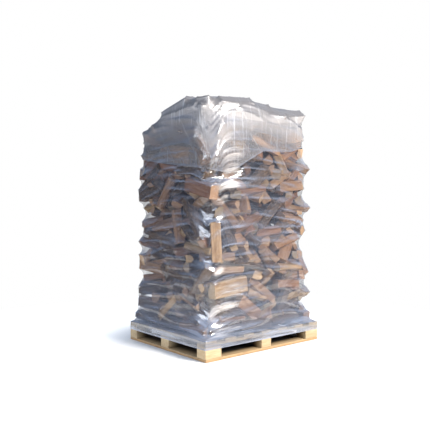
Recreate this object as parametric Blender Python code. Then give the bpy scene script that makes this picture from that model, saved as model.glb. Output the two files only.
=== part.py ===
# A wooden block pallet loaded with loose split firewood under a top sheet and stretch film.
# Metres, +Z up. The origin is on the floor under the pallet's centre, X runs along its long side.
import math

import bmesh
import bpy
import numpy as np

# Pallet
PALLET_LENGTH = 1.200
PALLET_WIDTH = 1.000
BOARD_THICKNESS = 0.020
BOARD_WIDTH = 0.100
DECK_BOARD_COUNT = 7
BLOCK_HEIGHT = 0.090
CORNER_BLOCK_LENGTH = 0.145
MIDDLE_BLOCK_LENGTH = 0.100
BLOCK_WIDTH = 0.100
SEAT_GAP = 0.0003
PALLET_HEIGHT = 3 * BOARD_THICKNESS + BLOCK_HEIGHT

# Load
LOAD_LENGTH = 1.10
LOAD_WIDTH = 0.90
LOAD_CORNER = 0.06
LOAD_BULGE = 0.022
LOOSE_LOG_INSET = 0.030
LOAD_TOP = 1.950
SHOULDER_DROP = 0.10
SHOULDER_REACH = 0.16
CORNER_FALL = 0.17
CORNER_FALL_REACH = 0.45
FOOT_CLEARANCE = 0.0015
FILM_CLEARANCE = 0.010
PILE_SETBACK = 0.015
POCKET_GAP = 0.002
POCKET_REACH = 0.25

# Loose logs of the pile
LOOSE_LOG_COUNT = 450
CORNER_LOG_COUNT = 76
CORNER_PITCH = 0.09
CORNER_TURN = 0.35
LOOSE_LOG_SEED = 11
LOG_LENGTH_RANGE = (0.24, 0.32)
LOG_WIDTH_RANGE = (0.06, 0.115)
LOG_DEPTH_RANGE = (0.055, 0.09)
BEADS_PER_LOG = 4
BEAD_RADIUS = 0.036
SETTLING_ROUNDS = 110
PUSH_SHARE = 0.35
CORE_DEPTH = 0.26
OUTER_LAYER = 0.11
OUTER_DEPTHS = (0.000, 0.022)
LARGEST_SHIFT = 0.06
SHOULDER_START = 1.84
SLACK_RANGE = (-0.035, 0.012)
LIE_SPREAD = (1.0, 1.0, 0.55)
SEAT_STEP = 0.006
SEAT_CLEARANCE = 0.004
SEAT_TRIES = 60
WELD_DISTANCE = 1e-5
TINY = 1e-9

# Film
FILM_THICKNESS = 0.0015
FILM_LAYER_GAP = 0.0015
WRAP_HEM_HEIGHT = 0.085
SIDE_TOP = 1.62
FIRST_SIDE_ROW = 0.20
SIDE_ROW_COUNT = 17
DOME_RISE = 0.34
DOME_SQUARENESS = 4
DOME_ANGLES = (8, 16, 25, 35, 48, 62, 76, 90)
WRAP_DOME_ROWS = 2
COLUMN_STEP = 0.10
SUBSTEPS = 8
FILM_PULL_ROUNDS = 420
ROUND_PULL = 0.75
HEM_ROW = 17
HEM_BLEND_ROWS = 3.0
FITTING_ROUNDS = 40

# Hem of the top sheet: height above the floor at points round the load, from the corner at
# (-X, -Y) anticlockwise, each given as a share of the way along its side
HEM_POINTS = (
    (0.00, 1.37), (0.20, 1.35), (0.50, 1.53), (0.80, 1.55), (1.00, 1.60), (1.50, 1.50),
    (2.00, 1.38), (2.50, 1.50), (3.00, 1.50), (3.50, 1.43), (4.00, 1.37),
)

# Cross-sections of a log in shares of its width and depth, the second number pointing into the load
SECTIONS = {
    "slab": ((-0.50, -0.36), (-0.40, -0.50), (0.46, -0.50), (0.50, 0.30), (0.40, 0.50), (-0.46, 0.46)),
    "wedge": ((0.00, -0.50), (0.50, 0.10), (0.33, 0.40), (0.00, 0.50), (-0.33, 0.40), (-0.50, 0.10)),
    "half": ((-0.46, -0.10), (-0.22, -0.46), (0.20, -0.50), (0.45, -0.12), (0.50, 0.50), (-0.50, 0.50)),
}
SECTION_NAMES = ("slab", "wedge", "half")

# Sides of the load: a point on the film, then the ways right, up and out, as a viewer of that side sees it
SIDES = {
    "right": ((0.0, -0.45, 0.0), (1, 0, 0), (0, 0, 1), (0, -1, 0)),
    "left": ((-0.55, 0.0, 0.0), (0, -1, 0), (0, 0, 1), (-1, 0, 0)),
    "front": ((-0.515, -0.415, 0.0), (0.77, -0.64, 0), (0, 0, 1), (-0.64, -0.77, 0)),
    "back": ((0.0, 0.45, 0.0), (-1, 0, 0), (0, 0, 1), (0, 1, 0)),
    "far": ((0.55, 0.0, 0.0), (0, 1, 0), (0, 0, 1), (1, 0, 0)),
    "top": ((0.0, 0.0, LOAD_TOP), (1, 0, 0), (0, 1, 0), (0, 0, 1)),
}

# Logs that show by themselves: side, place to the right, place up, depth of the outer face behind the
# film, slant, lean outwards at the right end, roll, length, width, depth, section, wood
PLACED_LOGS = (
    ("front", 0.062, 0.840, 0.00, -87, 0, 0, 0.290, 0.080, 0.065, "slab", "pale"),
    ("right", -0.300, 1.625, 0.00, -28, 0, 0, 0.270, 0.150, 0.080, "slab", "pale"),
    ("front", -0.015, 1.560, 0.00, -60, 12, 0, 0.270, 0.105, 0.080, "half", "russet"),
    ("right", 0.345, 1.675, 0.00, 13, 0, 0, 0.260, 0.120, 0.090, "slab", "tan"),
    ("right", 0.345, 1.272, 0.00, 6, 3, 0, 0.250, 0.090, 0.070, "slab", "tan"),
    ("right", 0.445, 1.092, 0.00, 3, 8, 0, 0.260, 0.072, 0.070, "wedge", "tan"),
    ("right", 0.290, 0.818, 0.00, 16, 0, 25, 0.270, 0.070, 0.080, "slab", "tan"),
    ("right", 0.335, 0.611, 0.00, -2, 0, 0, 0.260, 0.072, 0.070, "half", "pale"),
    ("right", -0.135, 0.668, 0.00, -10, 0, 0, 0.310, 0.062, 0.070, "half", "bark"),
    ("right", 0.500, 0.680, 0.00, -65, 8, 0, 0.310, 0.050, 0.070, "slab", "tan"),
    ("right", 0.105, 0.745, 0.00, -34, 0, 20, 0.240, 0.060, 0.060, "wedge", "tan"),
    ("right", -0.125, 0.975, 0.00, 21, 0, 0, 0.290, 0.085, 0.075, "wedge", "russet"),
    ("right", 0.085, 0.900, 0.00, 7, 0, 0, 0.270, 0.075, 0.070, "half", "russet"),
    ("right", -0.100, 1.225, 0.00, 7, 0, 0, 0.300, 0.075, 0.070, "half", "russet"),
    ("right", 0.260, 1.445, 0.00, -58, 0, 0, 0.240, 0.090, 0.070, "wedge", "pale"),
    ("right", 0.020, 0.448, 0.00, -38, 4, 15, 0.310, 0.080, 0.070, "slab", "tan"),
    ("right", -0.312, 0.500, 0.00, 6, 0, 0, 0.320, 0.125, 0.080, "slab", "pale"),
    ("right", -0.125, 0.322, 0.00, -37, 0, 0, 0.240, 0.115, 0.070, "slab", "tan"),
    ("right", 0.100, 0.265, 0.00, 25, 0, 0, 0.280, 0.068, 0.065, "wedge", "pale"),
    ("right", 0.310, 0.480, 0.00, -3, 0, 0, 0.250, 0.065, 0.070, "slab", "russet"),
    ("right", -0.190, 0.800, 0.00, 0, 74, 0, 0.260, 0.085, 0.080, "wedge", "tan"),
    ("right", -0.290, 1.120, 0.00, 0, 70, 0, 0.270, 0.085, 0.080, "wedge", "tan"),
    ("left", 0.252, 1.014, 0.00, -55, 0, 0, 0.340, 0.085, 0.065, "half", "bark"),
    ("left", 0.330, 1.058, 0.075, -5, 0, 0, 0.230, 0.105, 0.085, "half", "dark"),
    ("left", 0.325, 1.235, 0.01, -13, 0, 0, 0.310, 0.110, 0.080, "slab", "russet"),
    ("left", 0.318, 0.545, 0.00, 48, 0, -10, 0.310, 0.105, 0.080, "wedge", "bark"),
    ("left", -0.130, 0.860, 0.00, -6, 0, 0, 0.350, 0.100, 0.080, "half", "dark"),
    ("left", 0.070, 1.500, 0.00, -8, 0, 0, 0.330, 0.130, 0.085, "slab", "tan"),
    ("left", -0.330, 1.330, 0.00, 40, -4, 0, 0.300, 0.085, 0.070, "half", "dark"),
    ("left", 0.010, 0.590, 0.00, -13, 0, 0, 0.300, 0.085, 0.070, "half", "dark"),
    ("left", 0.060, 1.720, 0.00, -14, 0, 0, 0.260, 0.085, 0.070, "half", "tan"),
    ("left", -0.320, 0.480, 0.00, 14, -8, 0, 0.280, 0.080, 0.070, "wedge", "dark"),
    ("left", 0.200, 0.300, 0.00, -20, 0, 0, 0.290, 0.095, 0.070, "half", "bark"),
)

# Logs at the load's corners, edges, top and foot that give it its outline, part of the pile's solid
OUTLINE_LOGS = (
    ("left", -0.335, 0.790, 0.00, -12, -12, 0, 0.270, 0.080, 0.075, "wedge"),
    ("left", -0.335, 1.215, 0.00, 8, -10, 0, 0.250, 0.110, 0.080, "slab"),
    ("left", -0.315, 1.510, 0.01, -10, -12, 0, 0.260, 0.085, 0.075, "wedge"),
    ("left", -0.290, 1.715, 0.02, 12, -10, 0, 0.270, 0.090, 0.080, "slab"),
    ("left", -0.330, 0.300, 0.00, -8, -10, 0, 0.280, 0.090, 0.080, "slab"),
    ("left", -0.320, 1.365, 0.01, -5, -8, 0, 0.270, 0.100, 0.080, "slab"),
    ("left", -0.310, 0.980, 0.02, 9, -8, 0, 0.260, 0.090, 0.075, "half"),
    ("left", -0.330, 0.610, 0.01, -7, -10, 0, 0.270, 0.090, 0.075, "slab"),
    ("left", -0.335, 0.425, 0.00, 10, -10, 0, 0.260, 0.080, 0.075, "half"),
    ("far", -0.280, 1.575, 0.03, 12, -8, 0, 0.270, 0.085, 0.075, "slab"),
    ("far", -0.290, 1.330, 0.03, -9, -8, 0, 0.260, 0.080, 0.075, "half"),
    ("far", -0.300, 0.925, 0.02, 7, -8, 0, 0.270, 0.085, 0.075, "wedge"),
    ("far", -0.295, 0.520, 0.02, -8, -8, 0, 0.260, 0.080, 0.075, "slab"),
    ("right", 0.440, 1.450, 0.00, -14, 10, 0, 0.270, 0.080, 0.075, "wedge"),
    ("right", 0.440, 0.365, 0.00, 12, 10, 0, 0.270, 0.080, 0.070, "wedge"),
    ("right", 0.370, 1.840, 0.00, 8, 0, 0, 0.280, 0.110, 0.100, "wedge"),
    ("back", 0.410, 1.350, 0.00, 20, 8, 0, 0.280, 0.090, 0.080, "wedge"),
    ("back", 0.410, 0.700, 0.00, -15, 8, 0, 0.280, 0.090, 0.080, "slab"),
    ("back", -0.410, 1.000, 0.00, 12, -8, 0, 0.280, 0.090, 0.080, "wedge"),
    ("far", 0.320, 0.500, 0.00, 18, 8, 0, 0.280, 0.090, 0.080, "slab"),
    ("top", -0.250, 0.050, 0.00, 35, 0, 0, 0.300, 0.110, 0.090, "wedge"),
    ("top", 0.020, -0.180, 0.00, -30, 0, 0, 0.300, 0.100, 0.090, "half"),
    ("top", 0.220, 0.150, 0.00, 70, 0, 0, 0.290, 0.100, 0.080, "wedge"),
    ("left", 0.020, 1.862, 0.010, 12, 0, 0, 0.310, 0.090, 0.080, "half"),
    ("right", -0.230, 1.885, 0.010, 5, 0, 0, 0.310, 0.090, 0.080, "wedge"),
    ("top", -0.370, -0.300, 0.045, 20, 0, 0, 0.310, 0.110, 0.080, "slab"),
    ("left", 0.280, 0.197, -0.012, -3, 0, 0, 0.300, 0.085, 0.080, "half"),
    ("left", -0.040, 0.200, -0.012, 2, 0, 0, 0.320, 0.085, 0.080, "slab"),
    ("left", -0.345, 0.197, -0.014, -2, 0, 0, 0.280, 0.085, 0.080, "half"),
    ("right", -0.380, 0.200, -0.012, 4, 0, 0, 0.290, 0.085, 0.080, "half"),
    ("right", -0.060, 0.197, -0.012, -3, 0, 0, 0.310, 0.080, 0.080, "slab"),
    ("right", 0.270, 0.200, -0.012, 2, 0, 0, 0.310, 0.085, 0.080, "wedge"),
    ("back", -0.330, 0.200, -0.020, -3, 0, 0, 0.300, 0.085, 0.080, "half"),
    ("back", 0.020, 0.197, -0.020, 2, 0, 0, 0.310, 0.080, 0.080, "wedge"),
    ("back", 0.350, 0.200, -0.020, 4, 0, 0, 0.290, 0.085, 0.080, "slab"),
    ("far", -0.300, 0.198, -0.012, 3, 0, 0, 0.300, 0.085, 0.080, "slab"),
    ("far", 0.060, 0.197, -0.020, -2, 0, 0, 0.310, 0.080, 0.080, "half"),
    ("left", -0.300, 1.595, 0.030, 8, -6, 0, 0.260, 0.080, 0.075, "half"),
    ("left", -0.300, 1.440, 0.030, -6, -6, 0, 0.260, 0.080, 0.075, "slab"),
    ("left", -0.300, 1.105, 0.030, 5, -6, 0, 0.260, 0.080, 0.075, "wedge"),
    ("left", -0.300, 0.890, 0.030, -9, -6, 0, 0.260, 0.080, 0.075, "half"),
    ("left", -0.300, 0.515, 0.030, 6, -6, 0, 0.260, 0.080, 0.075, "slab"),
    ("far", -0.280, 1.455, 0.035, 7, -6, 0, 0.260, 0.080, 0.075, "half"),
    ("far", -0.280, 1.060, 0.035, -8, -6, 0, 0.260, 0.080, 0.075, "slab"),
    ("far", -0.280, 0.720, 0.035, 5, -6, 0, 0.260, 0.080, 0.075, "half"),
    ("far", -0.290, 0.345, 0.030, -6, -6, 0, 0.260, 0.080, 0.075, "wedge"),
)

WOOD_COLORS = {
    "pale": (0.80, 0.58, 0.38),
    "tan": (0.66, 0.42, 0.25),
    "russet": (0.52, 0.27, 0.16),
    "bark": (0.34, 0.23, 0.16),
    "dark": (0.20, 0.15, 0.13),
}
PALLET_COLOR = (0.80, 0.62, 0.38)
PILE_COLOR = (0.42, 0.27, 0.18)
WRAP_COLOR = (0.70, 0.74, 0.84)
SHEET_COLOR = (0.82, 0.85, 0.90)
SAWN_ROUGHNESS = 0.75
SPLIT_ROUGHNESS = 0.8
FILM_ROUGHNESS = 0.2
WRAP_ALPHA = 0.45
SHEET_ALPHA = 0.55


# Scene and materials

def clear_scene():
    for item in list(bpy.data.objects):
        bpy.data.objects.remove(item, do_unlink=True)


def make_material(name, color, roughness, alpha=1.0):
    material = bpy.data.materials.new(name)
    material.use_nodes = True
    shader = material.node_tree.nodes["Principled BSDF"]
    shader.inputs["Base Color"].default_value = (*color, 1.0)
    shader.inputs["Roughness"].default_value = roughness
    shader.inputs["Metallic"].default_value = 0.0
    shader.inputs["Alpha"].default_value = alpha
    return material


def add_solid(name, points, faces, material):
    mesh = bpy.data.meshes.new(name)
    mesh.from_pydata([tuple(point) for point in points], [], faces)
    mesh.materials.append(material)
    solid = bpy.data.objects.new(name, mesh)
    bpy.context.scene.collection.objects.link(solid)
    return solid


# Pallet

def add_board(name, low, high, material):
    """A plain sawn piece of wood between two corners."""
    (x0, y0, z0), (x1, y1, z1) = low, high
    points = [(x, y, z) for z in (z0, z1) for y in (y0, y1) for x in (x0, x1)]
    faces = [(0, 2, 3, 1), (4, 5, 7, 6), (0, 1, 5, 4), (2, 6, 7, 3), (0, 4, 6, 2), (1, 3, 7, 5)]
    return add_solid(name, points, faces, material)


def make_pallet():
    wood = make_material("pallet_wood", PALLET_COLOR, SAWN_ROUGHNESS)
    half_length = PALLET_LENGTH / 2
    half_width = PALLET_WIDTH / 2
    block_x = half_length - CORNER_BLOCK_LENGTH / 2
    row_y = half_width - BOARD_WIDTH / 2
    lengthways = (("front", -row_y), ("middle", 0.0), ("back", row_y))
    crossways = (("left", -block_x, CORNER_BLOCK_LENGTH), ("middle", 0.0, MIDDLE_BLOCK_LENGTH),
                 ("right", block_x, CORNER_BLOCK_LENGTH))

    base_top = BOARD_THICKNESS - SEAT_GAP
    runner_end = half_length - CORNER_BLOCK_LENGTH - SEAT_GAP
    for name, y in lengthways:
        add_board(f"base_board_{name}", (-runner_end, y - BOARD_WIDTH / 2, 0.0),
                  (runner_end, y + BOARD_WIDTH / 2, base_top), wood)
    for name, x, length in (crossways[0], crossways[2]):
        add_board(f"base_board_{name}", (x - length / 2, -half_width, 0.0),
                  (x + length / 2, half_width, base_top), wood)

    block_top = BOARD_THICKNESS + BLOCK_HEIGHT - SEAT_GAP
    for row, y in lengthways:
        for column, x, length in crossways:
            add_board(f"block_{row}_{column}", (x - length / 2, y - BLOCK_WIDTH / 2, BOARD_THICKNESS),
                      (x + length / 2, y + BLOCK_WIDTH / 2, block_top), wood)

    stringer_bottom = BOARD_THICKNESS + BLOCK_HEIGHT
    for name, y in lengthways:
        add_board(f"stringer_{name}", (-half_length, y - BOARD_WIDTH / 2, stringer_bottom),
                  (half_length, y + BOARD_WIDTH / 2, stringer_bottom + BOARD_THICKNESS - SEAT_GAP), wood)

    deck_bottom = stringer_bottom + BOARD_THICKNESS
    pitch = (PALLET_LENGTH - BOARD_WIDTH) / (DECK_BOARD_COUNT - 1)
    for index in range(DECK_BOARD_COUNT):
        x = -half_length + BOARD_WIDTH / 2 + index * pitch
        add_board(f"deck_board_{index + 1}", (x - BOARD_WIDTH / 2, -half_width, deck_bottom),
                  (x + BOARD_WIDTH / 2, half_width, PALLET_HEIGHT), wood)


# Logs as straight prisms: centres, three unit axes, sizes and cross-sections in whole arrays

def unit(vectors):
    return vectors / np.linalg.norm(vectors, axis=-1, keepdims=True)


def log_set(centres, along, across, sizes, outlines):
    along = unit(along)
    across = unit(across - (across * along).sum(-1, keepdims=True) * along)
    outward = np.cross(along, across)
    return {"centre": centres, "along": along, "across": across, "outward": outward,
            "half": sizes[:, 0] / 2, "outline": outlines * sizes[:, None, 1:]}


def joined(*sets):
    return {key: np.concatenate([logs[key] for logs in sets]) for key in sets[0]}


def placed_log_set(table):
    """Logs from rows of side, place, angles and size. A row's outer face lies on its side's film."""
    rows = []
    for side, right, up, sunk, slant, lean, roll, length, width, depth, section in table:
        origin, right_way, up_way, out_way = (np.array(part, float) for part in SIDES[side])
        slant, lean, roll = (math.radians(angle) for angle in (slant, lean, roll))
        flat = math.cos(slant) * right_way + math.sin(slant) * up_way
        upright = -math.sin(slant) * right_way + math.cos(slant) * up_way
        along = math.cos(lean) * flat + math.sin(lean) * out_way
        outward = math.cos(lean) * out_way - math.sin(lean) * flat
        across = math.cos(roll) * upright - math.sin(roll) * outward
        reach = (abs(math.sin(lean)) * length + math.cos(lean) * depth) / 2
        centre = origin + right * right_way + up * up_way - (reach + sunk) * out_way
        rows.append((centre, along, across, (length, width, depth), SECTIONS[section]))
    parts = [np.array([row[index] for row in rows], float) for index in range(5)]
    parts[2] = -parts[2]
    return log_set(*parts)


def log_corners(logs):
    """The twelve corners of each log: its outline at one end, then at the other."""
    ring = (logs["outline"][:, :, :1] * logs["across"][:, None] +
            logs["outline"][:, :, 1:] * logs["outward"][:, None])
    end = (logs["half"][:, None] * logs["along"])[:, None]
    centre = logs["centre"][:, None]
    return np.concatenate([centre + ring - end, centre + ring + end], axis=1)


def log_planes(logs):
    """Outward unit normals and offsets of each log's eight faces: six round the outline, two ends."""
    outline = logs["outline"]
    edge = np.roll(outline, -1, axis=1) - outline
    flat = unit(np.stack([edge[..., 1], -edge[..., 0]], axis=-1))
    normals = flat[..., :1] * logs["across"][:, None] + flat[..., 1:] * logs["outward"][:, None]
    offsets = (flat * outline).sum(-1)
    normals = np.concatenate([normals, logs["along"][:, None], -logs["along"][:, None]], axis=1)
    offsets = np.concatenate([offsets, logs["half"][:, None], logs["half"][:, None]], axis=1)
    offsets = offsets + (normals * logs["centre"][:, None]).sum(-1)
    return normals, offsets


def logs_clash(first, second, clearance):
    """True unless some direction parts the two prisms: face normals, and products of their edges."""
    corners = [log_corners(one)[0] for one in (first, second)]
    normals = [log_planes(one)[0][0] for one in (first, second)]
    edges = []
    for one, points in zip((first, second), corners):
        edges.append(np.concatenate([np.diff(points[:6], axis=0), points[:1] - points[5:6], one["along"]]))
    products = np.cross(edges[0][:, None], edges[1][None]).reshape(-1, 3)
    products = products[np.linalg.norm(products, axis=1) > TINY]
    directions = np.concatenate([normals[0], normals[1], unit(products)])
    spans = [points @ directions.T for points in corners]
    apart = (spans[0].min(0) > spans[1].max(0) + clearance) | (spans[1].min(0) > spans[0].max(0) + clearance)
    return not apart.any()


def one_log(logs, index):
    return {key: values[index:index + 1] for key, values in logs.items()}


def seated(logs, outward_ways):
    """Each log in turn sinks into the load until it is clear of the logs before it."""
    for index in range(1, len(logs["half"])):
        for _ in range(SEAT_TRIES):
            this = one_log(logs, index)
            if not any(logs_clash(this, one_log(logs, other), SEAT_CLEARANCE) for other in range(index)):
                break
            logs["centre"][index] -= SEAT_STEP * outward_ways[index]
    return logs


# Loose logs: a random heap of bead chains pushed apart inside the load's form

def load_top(x, y):
    """Height of the load's top: level, falling as a quarter round towards the edges, and evenly towards
    the corner at (-X, +Y), where the load is lowest."""
    inner_x = np.abs(x) - (LOAD_LENGTH / 2 - SHOULDER_REACH)
    inner_y = np.abs(y) - (LOAD_WIDTH / 2 - SHOULDER_REACH)
    edge = np.clip(np.hypot(np.maximum(inner_x, 0), np.maximum(inner_y, 0)) / SHOULDER_REACH, 0, 1)
    away = np.hypot(x + LOAD_LENGTH / 2, y - LOAD_WIDTH / 2)
    fall = CORNER_FALL * np.clip(1 - away / CORNER_FALL_REACH, 0, 1)
    return LOAD_TOP - fall - SHOULDER_DROP * (1 - np.sqrt(np.maximum(1 - edge ** 2, 0)))


def push_inside(points, radius, slack):
    """Moves bead centres back inside the load: its floor, its top and its rounded upright sides."""
    x, y, z = points[:, 0].copy(), points[:, 1].copy(), points[:, 2].copy()
    corner = LOAD_CORNER
    limit_x = LOAD_LENGTH / 2 - LOOSE_LOG_INSET + slack - radius
    limit_y = LOAD_WIDTH / 2 - LOOSE_LOG_INSET + slack - radius
    over_x = np.maximum(np.abs(x) - (limit_x - corner), 0)
    over_y = np.maximum(np.abs(y) - (limit_y - corner), 0)
    over = np.hypot(over_x, over_y)
    shrink = np.where(over > corner, corner / np.maximum(over, TINY), 1.0)
    x = np.sign(x) * (np.abs(x) - over_x * (1 - shrink))
    y = np.sign(y) * (np.abs(y) - over_y * (1 - shrink))
    z = np.clip(z, PALLET_HEIGHT + radius, load_top(x, y) - LOOSE_LOG_INSET + slack - radius)
    return np.stack([x, y, z], axis=1)


def side_depth(points):
    """How deep points lie behind the load's rounded upright sides, and the level ways out."""
    half = np.array([LOAD_LENGTH, LOAD_WIDTH]) / 2 - LOAD_CORNER
    flat = points[..., :2]
    bulge = LOAD_BULGE * (1 - np.clip(np.abs(flat[..., ::-1]) / half[::-1], 0, 1) ** 2)
    past = np.abs(flat) - half - bulge
    corner = np.maximum(past, 0)
    beyond = np.linalg.norm(corner, axis=-1)
    depth = LOAD_CORNER - beyond - np.minimum(past.max(axis=-1), 0)
    straight = np.eye(2)[past.argmax(axis=-1)]
    ways = np.where(beyond[..., None] > TINY, corner / np.maximum(beyond, TINY)[..., None], straight)
    ways = np.concatenate([ways * np.sign(flat), np.zeros_like(points[..., :1])], axis=-1)
    return np.where(points[..., 2] < SHOULDER_START, depth, np.inf), ways


def top_depth(points):
    """How deep points lie below the load's top, and the way up."""
    ways = np.broadcast_to((0.0, 0.0, 1.0), points.shape)
    return load_top(points[..., 0], points[..., 1]) - points[..., 2], ways


def drawn_to_film(logs, depths):
    """Moves each outer log until its outermost corner lies as deep under the load's form as given."""
    rows = np.arange(len(depths))
    for measure in (side_depth, top_depth):
        depth, ways = measure(log_corners(logs))
        nearest = depth.argmin(axis=1)
        shift = np.clip(depth[rows, nearest] - depths, -LARGEST_SHIFT, LARGEST_SHIFT)
        shift[depth[rows, nearest] > OUTER_LAYER] = 0.0
        logs["centre"] = logs["centre"] + shift[:, None] * ways[rows, nearest]
    return logs


def push_from_core(points):
    """Moves bead centres out of the load's hidden core, towards its nearest side or top."""
    room = np.stack([LOAD_LENGTH / 2 - CORE_DEPTH - np.abs(points[:, 0]),
                     LOAD_WIDTH / 2 - CORE_DEPTH - np.abs(points[:, 1]),
                     LOAD_TOP - CORE_DEPTH - points[:, 2]], axis=1)
    inside = (room > 0).all(axis=1)
    nearest = room.argmin(axis=1)
    move = np.zeros_like(points)
    rows = np.arange(len(points))
    way = np.where(nearest == 2, 1.0, np.where(points[rows, nearest] < 0, -1.0, 1.0))
    move[rows, nearest] = np.where(inside, room[rows, nearest] * way, 0.0)
    return points + move


def close_pairs(beads, others, reach):
    """Index pairs of beads nearer than reach, found in upright slices of the load as tall as the reach."""
    order = np.argsort(others[:, 2], kind="stable")
    heights = others[order, 2]
    first = np.searchsorted(heights, beads[:, 2] - reach)
    last = np.searchsorted(heights, beads[:, 2] + reach)
    counts = last - first
    rows = np.repeat(np.arange(len(beads)), counts)
    places = np.arange(counts.sum()) - np.repeat(np.cumsum(counts) - counts, counts) + first[rows]
    partners = order[places]
    near = ((beads[rows] - others[partners]) ** 2).sum(1) < reach ** 2
    return rows[near], partners[near]


def stacked_in_corners(centre, along, length):
    """Puts the first logs at the load's four upright corners, along one side and the other in turn."""
    index = np.arange(CORNER_LOG_COUNT)
    level = index // 4
    signs = np.stack([np.where(index % 2, 1, -1), np.where(index % 4 < 2, 1, -1)], axis=1)
    axis = (level + index) % 2
    half = np.array([LOAD_LENGTH, LOAD_WIDTH]) / 2 - BEAD_RADIUS
    centre[index, :2] = signs * half
    centre[index, axis] -= signs[index, axis] * (length[index] / 2 - BEAD_RADIUS)
    centre[index, 2] = PALLET_HEIGHT + BEAD_RADIUS + level * CORNER_PITCH
    along[index] = unit(np.eye(3)[axis] + along[index] * CORNER_TURN)
    return centre, along


def loose_log_set(fixed):
    """Chains of beads, one per log, drawn at random and pushed apart from each other and the fixed logs."""
    rng = np.random.default_rng(LOOSE_LOG_SEED)
    count = LOOSE_LOG_COUNT
    length = rng.uniform(*LOG_LENGTH_RANGE, count)
    width = rng.uniform(*LOG_WIDTH_RANGE, count)
    depth = rng.uniform(*LOG_DEPTH_RANGE, count)
    slack = rng.uniform(*SLACK_RANGE, count)
    section = rng.integers(0, 3, count)
    centre = rng.uniform((-LOAD_LENGTH / 2, -LOAD_WIDTH / 2, PALLET_HEIGHT),
                         (LOAD_LENGTH / 2, LOAD_WIDTH / 2, LOAD_TOP), (count, 3))
    centre = push_from_core(centre)
    along = unit(rng.normal(size=(count, 3)) * LIE_SPREAD)
    centre, along = stacked_in_corners(centre, along, length)
    across = rng.normal(size=(count, 3))
    shares = np.linspace(0, 1, BEADS_PER_LOG)
    span = length - 2 * BEAD_RADIUS
    start = centre - along * span[:, None] / 2
    end = centre + along * span[:, None] / 2
    reach = fixed["half"][:, None, None] - BEAD_RADIUS
    fixed_beads = (fixed["centre"][:, None] + fixed["along"][:, None] * reach *
                   (2 * shares[None, :, None] - 1)).reshape(-1, 3)
    bead_slack = np.repeat(slack, BEADS_PER_LOG)
    owner = np.repeat(np.arange(count), BEADS_PER_LOG)
    for _ in range(SETTLING_ROUNDS):
        beads = (start[:, None] + (end - start)[:, None] * shares[None, :, None]).reshape(-1, 3)
        push = np.zeros_like(beads)
        for others, own in ((beads, owner), (fixed_beads, None)):
            first, second = close_pairs(beads, others, 2 * BEAD_RADIUS)
            if own is not None:
                apart = own[first] != own[second]
                first, second = first[apart], second[apart]
            offset = beads[first] - others[second]
            distance = np.linalg.norm(offset, axis=1, keepdims=True) + TINY
            np.add.at(push, first, offset * (2 * BEAD_RADIUS / distance - 1))
        target = push_inside(push_from_core(beads + PUSH_SHARE * push), BEAD_RADIUS, bead_slack)
        move = (target - beads).reshape(count, BEADS_PER_LOG, 3)
        lean = (2 * shares - 1)[None, :, None]
        shift = move.mean(1)
        turn = (move * lean).sum(1) / (lean ** 2).sum()
        start = start + shift - turn
        end = end + shift + turn
        middle = (start + end) / 2
        along = unit(end - start)
        start = middle - along * span[:, None] / 2
        end = middle + along * span[:, None] / 2
    sections = np.array([SECTIONS[name] for name in SECTION_NAMES], float)[section]
    logs = log_set(middle, along, across, np.stack([length, width, depth], axis=1), sections)
    return drawn_to_film(logs, rng.uniform(*OUTER_DEPTHS, count))


# Rays that measure the load: level ones from its upright axis, and above the sides a fan from one point

def edge_directions(substeps):
    """Level directions from the axis to points spaced evenly round the pallet's edge, anticlockwise."""
    corners = np.array([(-1, -1), (1, -1), (1, 1), (-1, 1), (-1, -1)], float)
    corners = corners * (PALLET_LENGTH / 2, PALLET_WIDTH / 2)
    points = []
    for first, last in zip(corners[:-1], corners[1:]):
        steps = round(np.abs(last - first).sum() / COLUMN_STEP) * substeps
        shares = np.arange(steps)[:, None] / steps
        points.append(first + (last - first) * shares)
    return np.concatenate(points)


def refine(values, substeps):
    """The values with even steps put between each pair."""
    places = np.arange((len(values) - 1) * substeps + 1) / substeps
    return np.interp(places, np.arange(len(values)), values)


def ray_rows():
    """Heights of the level rows and angles of the fan's rows, one entry per row for both."""
    side = np.linspace(FIRST_SIDE_ROW, SIDE_TOP, SIDE_ROW_COUNT)
    heights = np.concatenate([[WRAP_HEM_HEIGHT, PALLET_HEIGHT], side, np.full(len(DOME_ANGLES), SIDE_TOP)])
    angles = np.concatenate([np.zeros(2 + SIDE_ROW_COUNT), np.radians(DOME_ANGLES)])
    return heights, angles


def hem_height(points):
    """Height of the top sheet's hem over points round the pallet's edge."""
    sides = np.array([PALLET_LENGTH, PALLET_WIDTH, PALLET_LENGTH, PALLET_WIDTH])
    steps = np.linalg.norm(np.diff(points, axis=0, append=points[:1]), axis=1)
    travelled = np.concatenate([[0.0], np.cumsum(steps)[:-1]])
    share = np.interp(travelled, np.concatenate([[0.0], np.cumsum(sides)]), np.arange(5))
    return np.interp(share, [place for place, _ in HEM_POINTS], [height for _, height in HEM_POINTS])


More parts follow.
